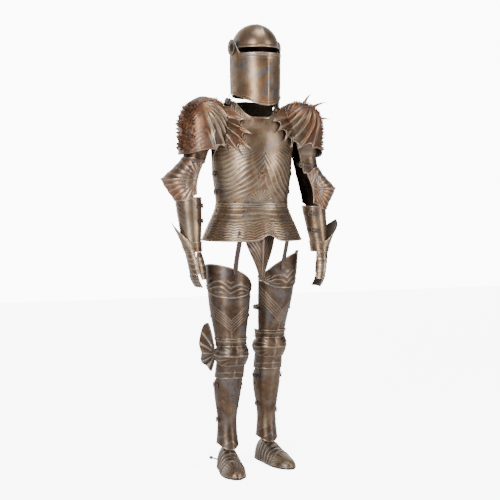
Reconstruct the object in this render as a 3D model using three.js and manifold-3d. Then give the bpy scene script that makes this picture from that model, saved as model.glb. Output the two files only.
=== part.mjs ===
// Suit of fluted plate armour, hollow, in the stance in which it is worn. Millimetres, +Z up, -Y to the front.
// The origin is the middle of the neck opening, where the wearer's shoulders carry the suit.
import * as THREE from "three";
import { mergeVertices } from "three/addons/utils/BufferGeometryUtils.js";
import Module from "manifold-3d";

const wasm = await Module();
wasm.setup();

const neckHeight = 1490; // floor to the neck opening
const plateWall = 2; // steel plate
const leatherWall = 2.5; // straps and soles
const seam = 0.4; // gap between neighbouring plates
const lap = plateWall + 1.2; // how far a plate stands outside the one that it overlaps
const helmetTurn = 5; // degrees, to the wearer's left

// Stations up the body and limbs: height, middle of the section, half width, and depths before and behind it.
const torso = [
  { z: 930, x: 0, y: 0, wide: 222, front: 190, back: 182 },
  { z: 1010, x: 0, y: 0, wide: 188, front: 156, back: 146 },
  { z: 1060, x: 0, y: 0, wide: 166, front: 131, back: 117 },
  { z: 1096, x: 0, y: 0, wide: 155, front: 118, back: 104 },
  { z: 1150, x: 0, y: 0, wide: 159, front: 133, back: 108 },
  { z: 1220, x: 0, y: 0, wide: 166, front: 150, back: 116 },
  { z: 1300, x: 0, y: 0, wide: 171, front: 152, back: 124 },
  { z: 1380, x: 0, y: 0, wide: 172, front: 140, back: 125 },
  { z: 1440, x: 0, y: 0, wide: 160, front: 114, back: 112 },
  { z: 1490, x: 0, y: 0, wide: 134, front: 84, back: 92 },
  { z: 1540, x: 0, y: 0, wide: 100, front: 56, back: 66 },
];
const helmetLine = [
  { z: 1495, x: 0, y: 0, wide: 90, front: 112, back: 100 },
  { z: 1600, x: 0, y: 0, wide: 93, front: 114, back: 106 },
  { z: 1720, x: 0, y: 0, wide: 94, front: 112, back: 112 },
  { z: 1760, x: 0, y: 0, wide: 93, front: 107, back: 110 },
];
const legs = {
  right: {
    side: -1,
    toeOut: -8,
    knee: { x: -112, y: -58, z: 480 },
    line: [
      { z: 100, x: -121, y: -38, wide: 46, front: 54, back: 50 },
      { z: 200, x: -121, y: -34, wide: 40, front: 43, back: 44 },
      { z: 330, x: -118, y: -34, wide: 57, front: 56, back: 64 },
      { z: 410, x: -114, y: -48, wide: 57, front: 60, back: 60 },
      { z: 480, x: -112, y: -58, wide: 56, front: 62, back: 56 },
      { z: 560, x: -112, y: -52, wide: 66, front: 68, back: 62 },
      { z: 680, x: -112, y: -40, wide: 84, front: 84, back: 78 },
      { z: 800, x: -112, y: -32, wide: 92, front: 90, back: 86 },
      { z: 900, x: -114, y: -26, wide: 94, front: 90, back: 90 },
    ],
    foot: { x: -121, y: -38 },
  },
  left: {
    side: 1,
    toeOut: 8,
    knee: { x: 92, y: 36, z: 497 },
    line: [
      { z: 100, x: 87, y: 52, wide: 46, front: 54, back: 50 },
      { z: 200, x: 87, y: 54, wide: 40, front: 43, back: 44 },
      { z: 330, x: 87, y: 54, wide: 57, front: 56, back: 64 },
      { z: 420, x: 89, y: 44, wide: 57, front: 60, back: 60 },
      { z: 497, x: 92, y: 36, wide: 56, front: 62, back: 56 },
      { z: 580, x: 95, y: 34, wide: 66, front: 68, back: 62 },
      { z: 690, x: 102, y: 24, wide: 80, front: 84, back: 78 },
      { z: 800, x: 108, y: 14, wide: 90, front: 90, back: 86 },
      { z: 910, x: 112, y: 8, wide: 94, front: 90, back: 90 },
    ],
    foot: { x: 87, y: 52 },
  },
};
const arms = {
  right: {
    side: -1,
    line: [
      { z: 760, x: -244, y: -30, wide: 24, front: 46, back: 40 },
      { z: 850, x: -253, y: -22, wide: 30, front: 48, back: 44 },
      { z: 925, x: -262, y: -8, wide: 36, front: 42, back: 42 },
      { z: 1010, x: -266, y: 4, wide: 46, front: 50, back: 50 },
      { z: 1110, x: -272, y: 12, wide: 54, front: 58, back: 56 },
      { z: 1195, x: -276, y: 20, wide: 56, front: 60, back: 60 },
      { z: 1270, x: -247, y: 12, wide: 52, front: 56, back: 56 },
      { z: 1400, x: -216, y: 4, wide: 60, front: 62, back: 60 },
    ],
  },
  left: {
    side: 1,
    line: [
      { z: 750, x: 282, y: -34, wide: 24, front: 46, back: 40 },
      { z: 840, x: 296, y: -26, wide: 30, front: 48, back: 44 },
      { z: 915, x: 303, y: -12, wide: 36, front: 42, back: 42 },
      { z: 985, x: 297, y: 0, wide: 42, front: 46, back: 46 },
      { z: 1075, x: 288, y: 12, wide: 50, front: 56, back: 52 },
      { z: 1160, x: 286, y: 20, wide: 56, front: 60, back: 60 },
      { z: 1240, x: 252, y: 14, wide: 52, front: 56, back: 56 },
      { z: 1400, x: 217, y: 4, wide: 60, front: 62, back: 60 },
    ],
  },
};

const rad = (degrees) => (degrees * Math.PI) / 180;
const mix = (a, b, t) => a + (b - a) * t;
const clamp = (t) => Math.min(1, Math.max(0, t));
const smooth = (a, b, t) => {
  const k = clamp((t - a) / (b - a));
  return k * k * (3 - 2 * k);
};
const bump = (t) => Math.exp(-t * t);

// A station table read at any height, along a smooth curve through its rows.
function station(table, z) {
  let i = 0;
  while (i < table.length - 2 && z > table[i + 1].z) i += 1;
  const [p0, p1, p2, p3] = [-1, 0, 1, 2].map((k) => table[Math.min(table.length - 1, Math.max(0, i + k))]);
  const t = (z - p1.z) / (p2.z - p1.z);
  const found = {};
  for (const key of Object.keys(p1)) {
    const before = ((p2[key] - p0[key]) / Math.max(1, p2.z - p0.z)) * (p2.z - p1.z);
    const after = ((p3[key] - p1[key]) / Math.max(1, p3.z - p1.z)) * (p2.z - p1.z);
    const h = t * t * (3 - 2 * t);
    found[key] = mix(p1[key], p2[key], h) + before * t * (1 - t) * (1 - t) - after * t * t * (1 - t);
  }
  found.z = z;
  return found;
}

// A point of the section at height z, angle turned from the front towards the wearer's left.
function around(table, angle, z, out = 0) {
  const s = station(table, z);
  const depth = (Math.cos(rad(angle)) > 0 ? s.front : s.back) + out;
  return new THREE.Vector3(
    s.x + (s.wide + out) * Math.sin(rad(angle)),
    s.y - depth * Math.cos(rad(angle)),
    z,
  );
}

const middleOf = (table) => (p) => {
  const s = station(table, p.z);
  return new THREE.Vector3(s.x, s.y, p.z);
};

// A closed wall on a grid of points: place(u, v) is the plain surface and relief(u, v) raises its outer side.
function shell({ columns, rows, place, core, relief = () => 0, wall = plateWall, ring = false, pole = false }) {
  const wrap = (i) => (ring ? (i + columns) % columns : i);
  const count = ring ? columns : columns + 1;
  const columnAt = (i) => Array.from({ length: rows + 1 }, (_, j) => place(i / columns, j / rows));
  const base = Array.from({ length: count }, (_, i) => columnAt(i));
  if (!ring) base[-1] = columnAt(-1);
  if (!ring) base[count] = columnAt(count);
  const normal = (i, j) => {
    const j1 = pole ? Math.min(j + 1, rows - 1) : Math.min(j + 1, rows);
    const j0 = Math.min(Math.max(j - 1, 0), j1 - 1);
    const along = base[wrap(i + 1)][Math.min(j, j1)].clone().sub(base[wrap(i - 1)][Math.min(j, j1)]);
    const up = base[i][j1].clone().sub(base[i][j0]);
    return along.cross(up).normalize();
  };
  let facing = 0;
  const sheet = base.slice(0, count);
  const normals = sheet.map((column, i) => column.map((p, j) => normal(i, j)));
  sheet.forEach((column, i) => column.forEach((p, j) => (facing += normals[i][j].dot(p.clone().sub(core(p))))));
  const sign = Math.sign(facing);
  const points = [];
  const index = (layer, i, j) => (layer * count + wrap(i)) * (rows + 1) + j;
  for (const layer of [0, 1]) {
    sheet.forEach((column, i) =>
      column.forEach((p, j) => {
        const n = pole && j === rows ? new THREE.Vector3() : normals[i][j];
        if (pole && j === rows) normals.forEach((c) => n.add(c[j]));
        const lift = layer ? -wall : relief(i / columns, j / rows);
        points.push(p.clone().addScaledVector(n.clone().normalize(), lift * sign));
      }),
    );
  }
  const faces = [];
  const quad = (a, b, c, d) => faces.push([a, b, c], [a, c, d]);
  for (let i = 0; i < columns; i += 1)
    for (let j = 0; j < rows; j += 1) {
      quad(index(0, i, j), index(0, i + 1, j), index(0, i + 1, j + 1), index(0, i, j + 1));
      quad(index(1, i, j), index(1, i, j + 1), index(1, i + 1, j + 1), index(1, i + 1, j));
    }
  for (let i = 0; i < columns; i += 1) {
    quad(index(0, i + 1, 0), index(0, i, 0), index(1, i, 0), index(1, i + 1, 0));
    if (!pole) quad(index(0, i, rows), index(0, i + 1, rows), index(1, i + 1, rows), index(1, i, rows));
  }
  if (!ring)
    for (let j = 0; j < rows; j += 1) {
      quad(index(0, 0, j), index(0, 0, j + 1), index(1, 0, j + 1), index(1, 0, j));
      quad(index(0, columns, j + 1), index(0, columns, j), index(1, columns, j), index(1, columns, j + 1));
    }
  return closed(points, faces);
}

// Faces that collapse at a pole are dropped, and the whole is turned outwards.
function closed(points, faces) {
  const kept = faces.filter(
    ([a, b, c]) =>
      points[a].distanceTo(points[b]) > 1e-3 &&
      points[b].distanceTo(points[c]) > 1e-3 &&
      points[c].distanceTo(points[a]) > 1e-3,
  );
  const volume = kept.reduce((sum, [a, b, c]) => sum + points[a].dot(points[b].clone().cross(points[c])), 0);
  const flat = kept.flatMap(([a, b, c]) => (volume > 0 ? [a, b, c] : [a, c, b]));
  const geometry = new THREE.BufferGeometry();
  geometry.setAttribute("position", new THREE.Float32BufferAttribute(points.flatMap((p) => p.toArray()), 3));
  geometry.setIndex(flat);
  return mergeVertices(geometry, 1e-3);
}

function toSolid(geometry) {
  const bare = geometry.clone();
  bare.deleteAttribute("normal");
  bare.deleteAttribute("uv");
  const merged = mergeVertices(bare, 1e-3);
  return new wasm.Manifold(
    new wasm.Mesh({
      numProp: 3,
      vertProperties: new Float32Array(merged.attributes.position.array),
      triVerts: new Uint32Array(merged.index.array),
    }),
  );
}

function fromSolid(solid) {
  const mesh = solid.getMesh();
  const geometry = new THREE.BufferGeometry();
  geometry.setAttribute("position", new THREE.BufferAttribute(new Float32Array(mesh.vertProperties), 3));
  geometry.setIndex(new THREE.BufferAttribute(new Uint32Array(mesh.triVerts), 1));
  return geometry;
}

const joined = (first, ...rest) => fromSolid(rest.reduce((whole, g) => whole.add(toSolid(g)), toSolid(first)));
const cutBy = (first, ...rest) => fromSolid(rest.reduce((whole, g) => whole.subtract(toSolid(g)), toSolid(first)));

// A horn that bends from its root towards a lean and ends in a point.
function horn(root, lean, tip, radius, sides = 6) {
  const curve = new THREE.QuadraticBezierCurve3(root, lean, tip);
  const steps = sides > 4 ? 4 : 2;
  const side = new THREE.Vector3().subVectors(tip, root).normalize();
  const across = new THREE.Vector3(0.3, 0.9, 0.3).cross(side).normalize();
  const over = side.clone().cross(across);
  const points = [];
  for (let k = 0; k < steps; k += 1) {
    const middle = curve.getPoint(k / steps);
    const r = radius * (1 - k / steps);
    for (let i = 0; i < sides; i += 1) {
      const a = (i / sides) * 2 * Math.PI;
      points.push(middle.clone().addScaledVector(across, r * Math.cos(a)).addScaledVector(over, r * Math.sin(a)));
    }
  }
  const faces = [];
  for (let k = 0; k < steps - 1; k += 1)
    for (let i = 0; i < sides; i += 1) {
      const [a, b] = [k * sides + i, k * sides + ((i + 1) % sides)];
      faces.push([a, b, b + sides], [a, b + sides, a + sides]);
    }
  const [foot, peak] = [points.push(root) - 1, points.push(tip) - 1];
  for (let i = 0; i < sides; i += 1) {
    faces.push([foot, (i + 1) % sides, i]);
    faces.push([peak, (steps - 1) * sides + i, (steps - 1) * sides + ((i + 1) % sides)]);
  }
  return closed(points, faces);
}

// A round pin or disc between two points.
function pin(from, to, radius, sides = 12) {
  const length = from.distanceTo(to);
  const geometry = new THREE.CylinderGeometry(radius, radius, length, sides);
  const turn = new THREE.Quaternion().setFromUnitVectors(
    new THREE.Vector3(0, 1, 0),
    to.clone().sub(from).normalize(),
  );
  geometry.applyQuaternion(turn);
  return geometry.translate(...from.clone().add(to).multiplyScalar(0.5).toArray());
}

const steelTan = { color: 0x8f8272, roughness: 0.38, metalness: 0.9 };
const steelBrown = { color: 0x6f5a4b, roughness: 0.42, metalness: 0.9 };
const steelRust = { color: 0x94603f, roughness: 0.45, metalness: 0.85 };
const leather = { color: 0x2e1f19, roughness: 0.7, metalness: 0 };
const suit = new THREE.Group();

function add(name, geometry, finish, group = suit) {
  const mesh = new THREE.Mesh(geometry, new THREE.MeshStandardMaterial(finish));
  mesh.name = name;
  group.add(mesh);
  return mesh;
}

// Helmet: a round skull with an open face, and a visor that swings on two rondels.
const helmet = new THREE.Group();
helmet.position.set(10, -12, 0);
helmet.rotation.z = rad(helmetTurn);
suit.add(helmet);
const pivot = { y: 4, z: 1742, bore: 5.5, pin: 5 };
const crownHeight = 1841;
const helmetCore = (p) => new THREE.Vector3(0, 0, Math.min(p.z, 1745));

function skullPoint(u, v) {
  const angle = 360 * u - 180;
  const face = 1 - smooth(72, 98, Math.abs(angle));
  const bottom = mix(1548 + 10 * Math.cos(rad(angle)), 1738, face);
  const rise = 1745;
  if (v < 0.5) return around(helmetLine, angle, mix(bottom, rise, v * 2));
  const lift = rad(90 * (v * 2 - 1));
  const s = station(helmetLine, rise);
  const depth = Math.abs(angle) < 90 ? s.front : s.back;
  return new THREE.Vector3(
    s.wide * Math.sin(rad(angle)) * Math.cos(lift),
    -depth * Math.cos(rad(angle)) * Math.cos(lift),
    rise + (crownHeight - rise) * Math.sin(lift),
  );
}
const skull = shell({ columns: 24, rows: 8, place: skullPoint, core: helmetCore, ring: true, pole: true });
add("helmet_skull", skull, steelBrown, helmet);

const visorOut = 9; // the visor clears the skull that it swings over
function visorPoint(u, v) {
  const s = 2 * u - 1;
  const angle = 104 * s;
  const arm = smooth(62, 84, Math.abs(angle));
  const bottom = 1500 + 52 * smooth(0, 1, Math.abs(s));
  const top = mix(1716, 1766, arm);
  const z = mix(bottom, top, v);
  const keel = 5 * bump(angle / 14) * smooth(1716, 1640, z);
  return around(helmetLine, angle, z, visorOut + keel);
}
const visorPlate = shell({ columns: 20, rows: 6, place: visorPoint, core: helmetCore });
const pivotAt = (x) => new THREE.Vector3(x, pivot.y, pivot.z);
const bores = [-1, 1].map((side) => pin(pivotAt(side * 90), pivotAt(side * 116), pivot.bore));
add("helmet_visor", cutBy(visorPlate, ...bores), steelTan, helmet);
for (const [name, side] of [["right", -1], ["left", 1]]) {
  const stem = pin(pivotAt(side * 94), pivotAt(side * 106), pivot.pin);
  const disc = pin(pivotAt(side * 103.6), pivotAt(side * 109), 34, 20);
  const boss = pin(pivotAt(side * 108), pivotAt(side * 114), 16, 12);
  add("rondel_" + name, joined(disc, stem, boss), steelBrown, helmet);
}

// Cuirass: breastplate and backplate meet at the sides, and the neck and both armholes are open.
const armhole = [
  { z: 1096, angle: 88 },
  { z: 1285, angle: 88 },
  { z: 1345, angle: 70 },
  { z: 1405, angle: 56 },
  { z: 1465, angle: 54 },
  { z: 1540, angle: 60 },
];
const armholeAngle = (z) => Math.min(88, station(armhole, z).angle);
function breastPoint(u, v) {
  const s = 2 * u - 1;
  const z = mix(1096, 1456 + 66 * smooth(0.2, 0.95, Math.abs(s)), v);
  return around(torso, s * armholeAngle(z), z);
}
const fluteAngles = [-66, -44, -24, 0, 24, 44, 66];
function breastRelief(u, v) {
  const angle = (2 * u - 1) * 88;
  const fan = fluteAngles.reduce((sum, a) => sum + bump((angle * (0.55 + 0.6 * v) - a) / 5), 0);
  const covered = smooth(26, 44, Math.abs(angle)) * smooth(0.4, 0.55, v);
  return 3.5 * fan * smooth(0.02, 0.3, v) * (1 - smooth(0.6, 0.95, v)) * (1 - covered);
}
const torsoCore = middleOf(torso);
add(
  "breastplate",
  shell({ columns: 24, rows: 9, place: breastPoint, relief: breastRelief, core: torsoCore }),
  steelTan,
);
function backPoint(u, v) {
  const s = 2 * u - 1;
  const z = mix(1096, 1528 - 10 * Math.abs(s), v);
  const narrow = 88 - armholeAngle(z);
  return around(torso, 180 + s * (91.8 - narrow), z);
}
add("backplate", shell({ columns: 16, rows: 7, place: backPoint, core: torsoCore }), steelTan);

// Boss on the breast: a plain eight-petalled flower.
const bossAt = { x: -12, z: 1214, reach: 17 };
const petals = new THREE.Shape();
for (let k = 0; k < 32; k += 1) {
  const a = (k / 32) * 2 * Math.PI;
  const r = bossAt.reach * (0.82 + 0.18 * Math.cos(8 * a));
  petals[k ? "lineTo" : "moveTo"](r * Math.cos(a), r * Math.sin(a));
}
const flower = new THREE.ExtrudeGeometry(petals, { depth: 6, bevelEnabled: false });
flower.rotateX(rad(90)).translate(bossAt.x, -150 - 4.2, bossAt.z);
add("breast_rosette", flower, steelRust);

// Fauld: a flared skirt of plate in two halves, arched at the middle of its front.
function fauldPoint(from, to, arched) {
  return (u, v) => {
    const angle = mix(from, to, u);
    const arch = arched ? 26 * bump((angle - 4) / 9) : 0;
    return around(torso, angle, mix(948 + arch, 1096 - seam, v));
  };
}
const fauldRelief = (u, v) => 2.5 * Math.abs(Math.cos(9 * Math.PI * u)) * bump((v - 0.25) / 0.16);
for (const [name, from, to, columns] of [["front", -88, 88, 26], ["back", 88.2, 271.8, 16]])
  add(
    "fauld_" + name,
    shell({
      columns,
      rows: 6,
      place: fauldPoint(from, to, name === "front"),
      relief: name === "front" ? fauldRelief : undefined,
      core: torsoCore,
    }),
    steelTan,
  );

// Codpiece: a keeled plate that hangs inside the fauld.
function codPoint(u, v) {
  const s = 2 * u - 1;
  const z = mix(784, 1040, v);
  const half = mix(12, 66, smooth(0, 0.75, v));
  const keel = mix(-134, -148, smooth(0, 0.5, v)) + 9.8 * smooth(0.75, 1, v);
  return new THREE.Vector3(-2 + half * s, keel + 46 * Math.abs(s) ** 1.4 * (half / 66), z);
}
const codCore = (p) => new THREE.Vector3(-2, 0, p.z);
add("codpiece", shell({ columns: 8, rows: 6, place: codPoint, core: codCore }), steelRust);

// Pauldrons: each follows a shoulder dome that runs on over the breastplate. A row of the edge table gives the
// turn about the hub, 0 to the front and 90 towards the neck, and how far the edge reaches from the hub.
const wearerGap = { right: 6.7, left: 10.1 }; // from the cuirass to the wing's outer side
const shoulders = {
  right: {
    side: -1,
    dome: { x: -205, y: 6, z: 1424, wide: 106, deep: 112, high: 116 },
    middle: new THREE.Vector3(-150, 0, 1398),
    hub: new THREE.Vector3(-214, -40, 1470),
    edge: [
      { z: -180, reach: 128 },
      { z: -132, reach: 102 },
      { z: -93, reach: 80 },
      { z: -62, reach: 75 },
      { z: -42, reach: 78 },
      { z: -27, reach: 92 },
      { z: -13, reach: 99 },
      { z: 3, reach: 101 },
      { z: 30, reach: 84 },
      { z: 60, reach: 62 },
      { z: 105, reach: 52 },
      { z: 141, reach: 86 },
      { z: 180, reach: 128 },
    ],
    tips: [-36, -22, -8, 6, 22, 40],
    horns: [],
  },
  left: {
    side: 1,
    dome: { x: 207, y: 8, z: 1414, wide: 106, deep: 112, high: 112 },
    middle: new THREE.Vector3(152, 0, 1398),
    hub: new THREE.Vector3(224, -24, 1490),
    edge: [
      { z: -180, reach: 122 },
      { z: -133, reach: 100 },
      { z: -91, reach: 84 },
      { z: -66, reach: 77 },
      { z: -48, reach: 82 },
      { z: -29, reach: 102 },
      { z: -10, reach: 108 },
      { z: 9, reach: 105 },
      { z: 26, reach: 101 },
      { z: 38, reach: 95 },
      { z: 62, reach: 62 },
      { z: 101, reach: 45 },
      { z: 142, reach: 80 },
      { z: 180, reach: 122 },
    ],
    tips: [-46, -29, -10, 9, 26, 40],
    horns: [
      { root: [232, -10, 1514], lean: [240, -14, 1546], tip: [266, -14, 1562], radius: 8 },
      { root: [262, -6, 1496], lean: [290, -10, 1522], tip: [340, -10, 1528], radius: 9 },
      { root: [294, 0, 1452], lean: [322, -4, 1466], tip: [356, -6, 1454], radius: 8 },
    ],
  },
};
const scallopCut = 13; // degrees by which the edge falls back between two points
const studCount = 7; // small spikes along each shoulder's crest

// The last point of a ray that lies inside a form, by halving.
function rayExit(inside, from, direction) {
  let [near, far] = [0, 320];
  for (let k = 0; k < 22; k += 1) {
    const half = (near + far) / 2;
    if (inside(from.clone().addScaledVector(direction, half))) near = half;
    else far = half;
  }
  return near;
}
const insideTorso = (gap) => (p) => {
  if (p.z > 1545 || p.z < 940) return false;
  const s = station(torso, p.z);
  const depth = (p.y < 0 ? s.front : s.back) + gap;
  return Math.hypot(p.x / (s.wide + gap), p.y / depth) < 1;
};
function wingSurface(shoulder) {
  const { dome, middle, hub, side } = shoulder;
  const overTorso = insideTorso(side < 0 ? wearerGap.right : wearerGap.left);
  const insideDome = (p) => {
    const high = Math.max(0, p.z - dome.z) / dome.high; // below its middle the dome hangs straight
    return Math.hypot((p.x - dome.x) / dome.wide, (p.y - dome.y) / dome.deep, high) < 1;
  };
  const axis = hub.clone().sub(middle).normalize();
  const front = new THREE.Vector3(0, -1, 0).addScaledVector(axis, axis.y).normalize();
  const inward = new THREE.Vector3(-side, 0, 0);
  inward.addScaledVector(axis, -inward.dot(axis)).addScaledVector(front, -inward.dot(front)).normalize();
  return (turn, reach, out = 0) => {
    const direction = axis
      .clone()
      .multiplyScalar(Math.cos(rad(reach)))
      .addScaledVector(front, Math.sin(rad(reach)) * Math.cos(rad(turn)))
      .addScaledVector(inward, Math.sin(rad(reach)) * Math.sin(rad(turn)));
    const far = Math.max(rayExit(overTorso, middle, direction), rayExit(insideDome, middle, direction));
    return middle.clone().addScaledVector(direction, far + out);
  };
}
function pauldron(shoulder) {
  const { tips, edge, middle } = shoulder;
  const surface = wingSurface(shoulder);
  const between = tips.slice(1).map((t, k) => (t + tips[k]) / 2);
  const turns = [...tips, ...between, -64, -84, -104, -126, -150, -172, 56, 74, 96, 118, 140, 160];
  turns.sort((a, b) => a - b);
  const turnOf = (u) => turns[Math.round(u * turns.length) % turns.length];
  const isTip = (turn) => tips.includes(turn);
  const place = (u, v) => {
    const turn = turnOf(u);
    const cut = between.includes(turn) ? scallopCut : 0;
    return surface(turn, (station(edge, turn).reach - cut * (1 - v) ** 2) * (1 - v));
  };
  const relief = (u, v) => (isTip(turnOf(u)) ? 5 * smooth(1, 0.7, v) : 0);
  return shell({ columns: turns.length, rows: 5, place, relief, core: () => middle, ring: true, pole: true });
}
for (const [name, shoulder] of Object.entries(shoulders)) {
  const surface = wingSurface(shoulder);
  const studs = Array.from({ length: studCount }, (_, k) => {
    const reach = mix(-30, 68, k / (studCount - 1));
    return horn(surface(-100, reach, -3), surface(-100, reach, 4), surface(-100, reach, 11), 4.5, 4);
  });
  const horns = shoulder.horns.map((h) =>
    horn(...[h.root, h.lean, h.tip].map((p) => new THREE.Vector3(...p)), h.radius),
  );
  add("pauldron_" + name, joined(pauldron(shoulder), ...studs, ...horns), steelRust);
}

// Arms: an upper cannon that flares beneath the pauldron, an elbow cop with a pointed boss and a ribbed wing,
// a closed lower cannon, and a gauntlet with a pointed cuff.
const armPlates = {
  right: { elbow: 1202, cannonTop: 1392, cuffTop: 1022, cuffLow: 945, flare: 26, wrist: 905, tip: -105 },
  left: { elbow: 1163, cannonTop: 1392, cuffTop: 1030, cuffLow: 938, flare: 66, wrist: 895, tip: 105 },
};
const armFlare = { right: 22.3, left: 26.1 }; // the upper cannon opens out to the shoulder plate that carries it
const elbowHalf = 90; // half the cop's height
const elbowBoss = 44; // how far its point stands out
for (const [name, arm] of Object.entries(arms)) {
  const { side, line } = arm;
  const plan = armPlates[name];
  const core = middleOf(line);
  const outward = side * 90;
  const cannon = (u, v) => {
    const z = mix(plan.elbow + 62, plan.cannonTop, v);
    return around(line, outward + 130 * (2 * u - 1), z, armFlare[name] * smooth(1300, plan.cannonTop, z));
  };
  const lames = (u, v) => 2.5 * Math.abs(Math.sin(2.5 * Math.PI * v)) * smooth(0.45, 0.6, v);
  add("rerebrace_" + name, shell({ columns: 16, rows: 5, place: cannon, relief: lames, core }), steelBrown);

  const cop = (u, v) => {
    const s = 2 * u - 1;
    const high = mix(plan.elbow - elbowHalf, plan.elbow + elbowHalf, v);
    const z = plan.elbow + (high - plan.elbow) * (1 - 0.3 * smooth(0.55, 1, Math.abs(s)));
    const point = Math.max(0, 1 - Math.abs(s) / 0.62) * (1 - Math.abs(2 * v - 1));
    return around(line, side * 96 - side * 122 * s, z, lap + elbowBoss * point + 5 * bump((2 * v - 1) / 0.5));
  };
  const fan = (u, v) => {
    const spread = Math.atan2((v - 0.5) * 190, (1 - u) * 190 + 8);
    return 3.5 * Math.abs(Math.cos(spread * 7)) * smooth(0.4, 0.62, u) * smooth(0, 0.12, Math.abs(v - 0.5));
  };
  add("couter_" + name, shell({ columns: 20, rows: 6, place: cop, relief: fan, core }), steelTan);

  const lower = (u, v) => around(line, 360 * u, mix(plan.cuffLow - 12, plan.elbow - 74, v));
  add("vambrace_" + name, shell({ columns: 16, rows: 3, place: lower, core, ring: true }), steelTan);

  const cuff = (u, v) => {
    const angle = 360 * u;
    const toTip = bump((((angle - plan.tip + 540) % 360) - 180) / 52);
    const z = mix(plan.wrist, mix(plan.cuffLow, plan.cuffTop, toTip), v);
    return around(line, angle, z, lap - 0.1 + plan.flare * toTip * v ** 1.6);
  };
  add("gauntlet_cuff_" + name, shell({ columns: 16, rows: 4, place: cuff, core, ring: true }), steelTan);

  const hand = (u, v) => around(line, outward + 84 * (2 * u - 1), mix(plan.wrist - 92, plan.wrist + 12, v), -0.4);
  add("gauntlet_hand_" + name, shell({ columns: 8, rows: 2, place: hand, core }), steelTan);

  const knuckles = (u, v) => {
    const s = 2 * u - 1;
    const p = around(line, outward + 76 * s, mix(plan.wrist - 146, plan.wrist - 92 - seam, v), -0.4);
    return p.setX(p.x - side * 15 * (1 - v) ** 2);
  };
  const fingers = (u) => 2.5 * Math.abs(Math.sin(4 * Math.PI * u));
  add(
    "gauntlet_fingers_" + name,
    shell({ columns: 8, rows: 2, place: knuckles, relief: fingers, core }),
    steelBrown,
  );

  const thumb = (u, v) => {
    const z = mix(plan.wrist - 112, plan.wrist - seam, v);
    return around(line, -side * 20 + 34 * (2 * u - 1) * (0.55 + 0.45 * Math.sin(Math.PI * v)), z, 14 - 10 * v);
  };
  add("gauntlet_thumb_" + name, shell({ columns: 4, rows: 3, place: thumb, core }), steelTan);
}

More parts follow.
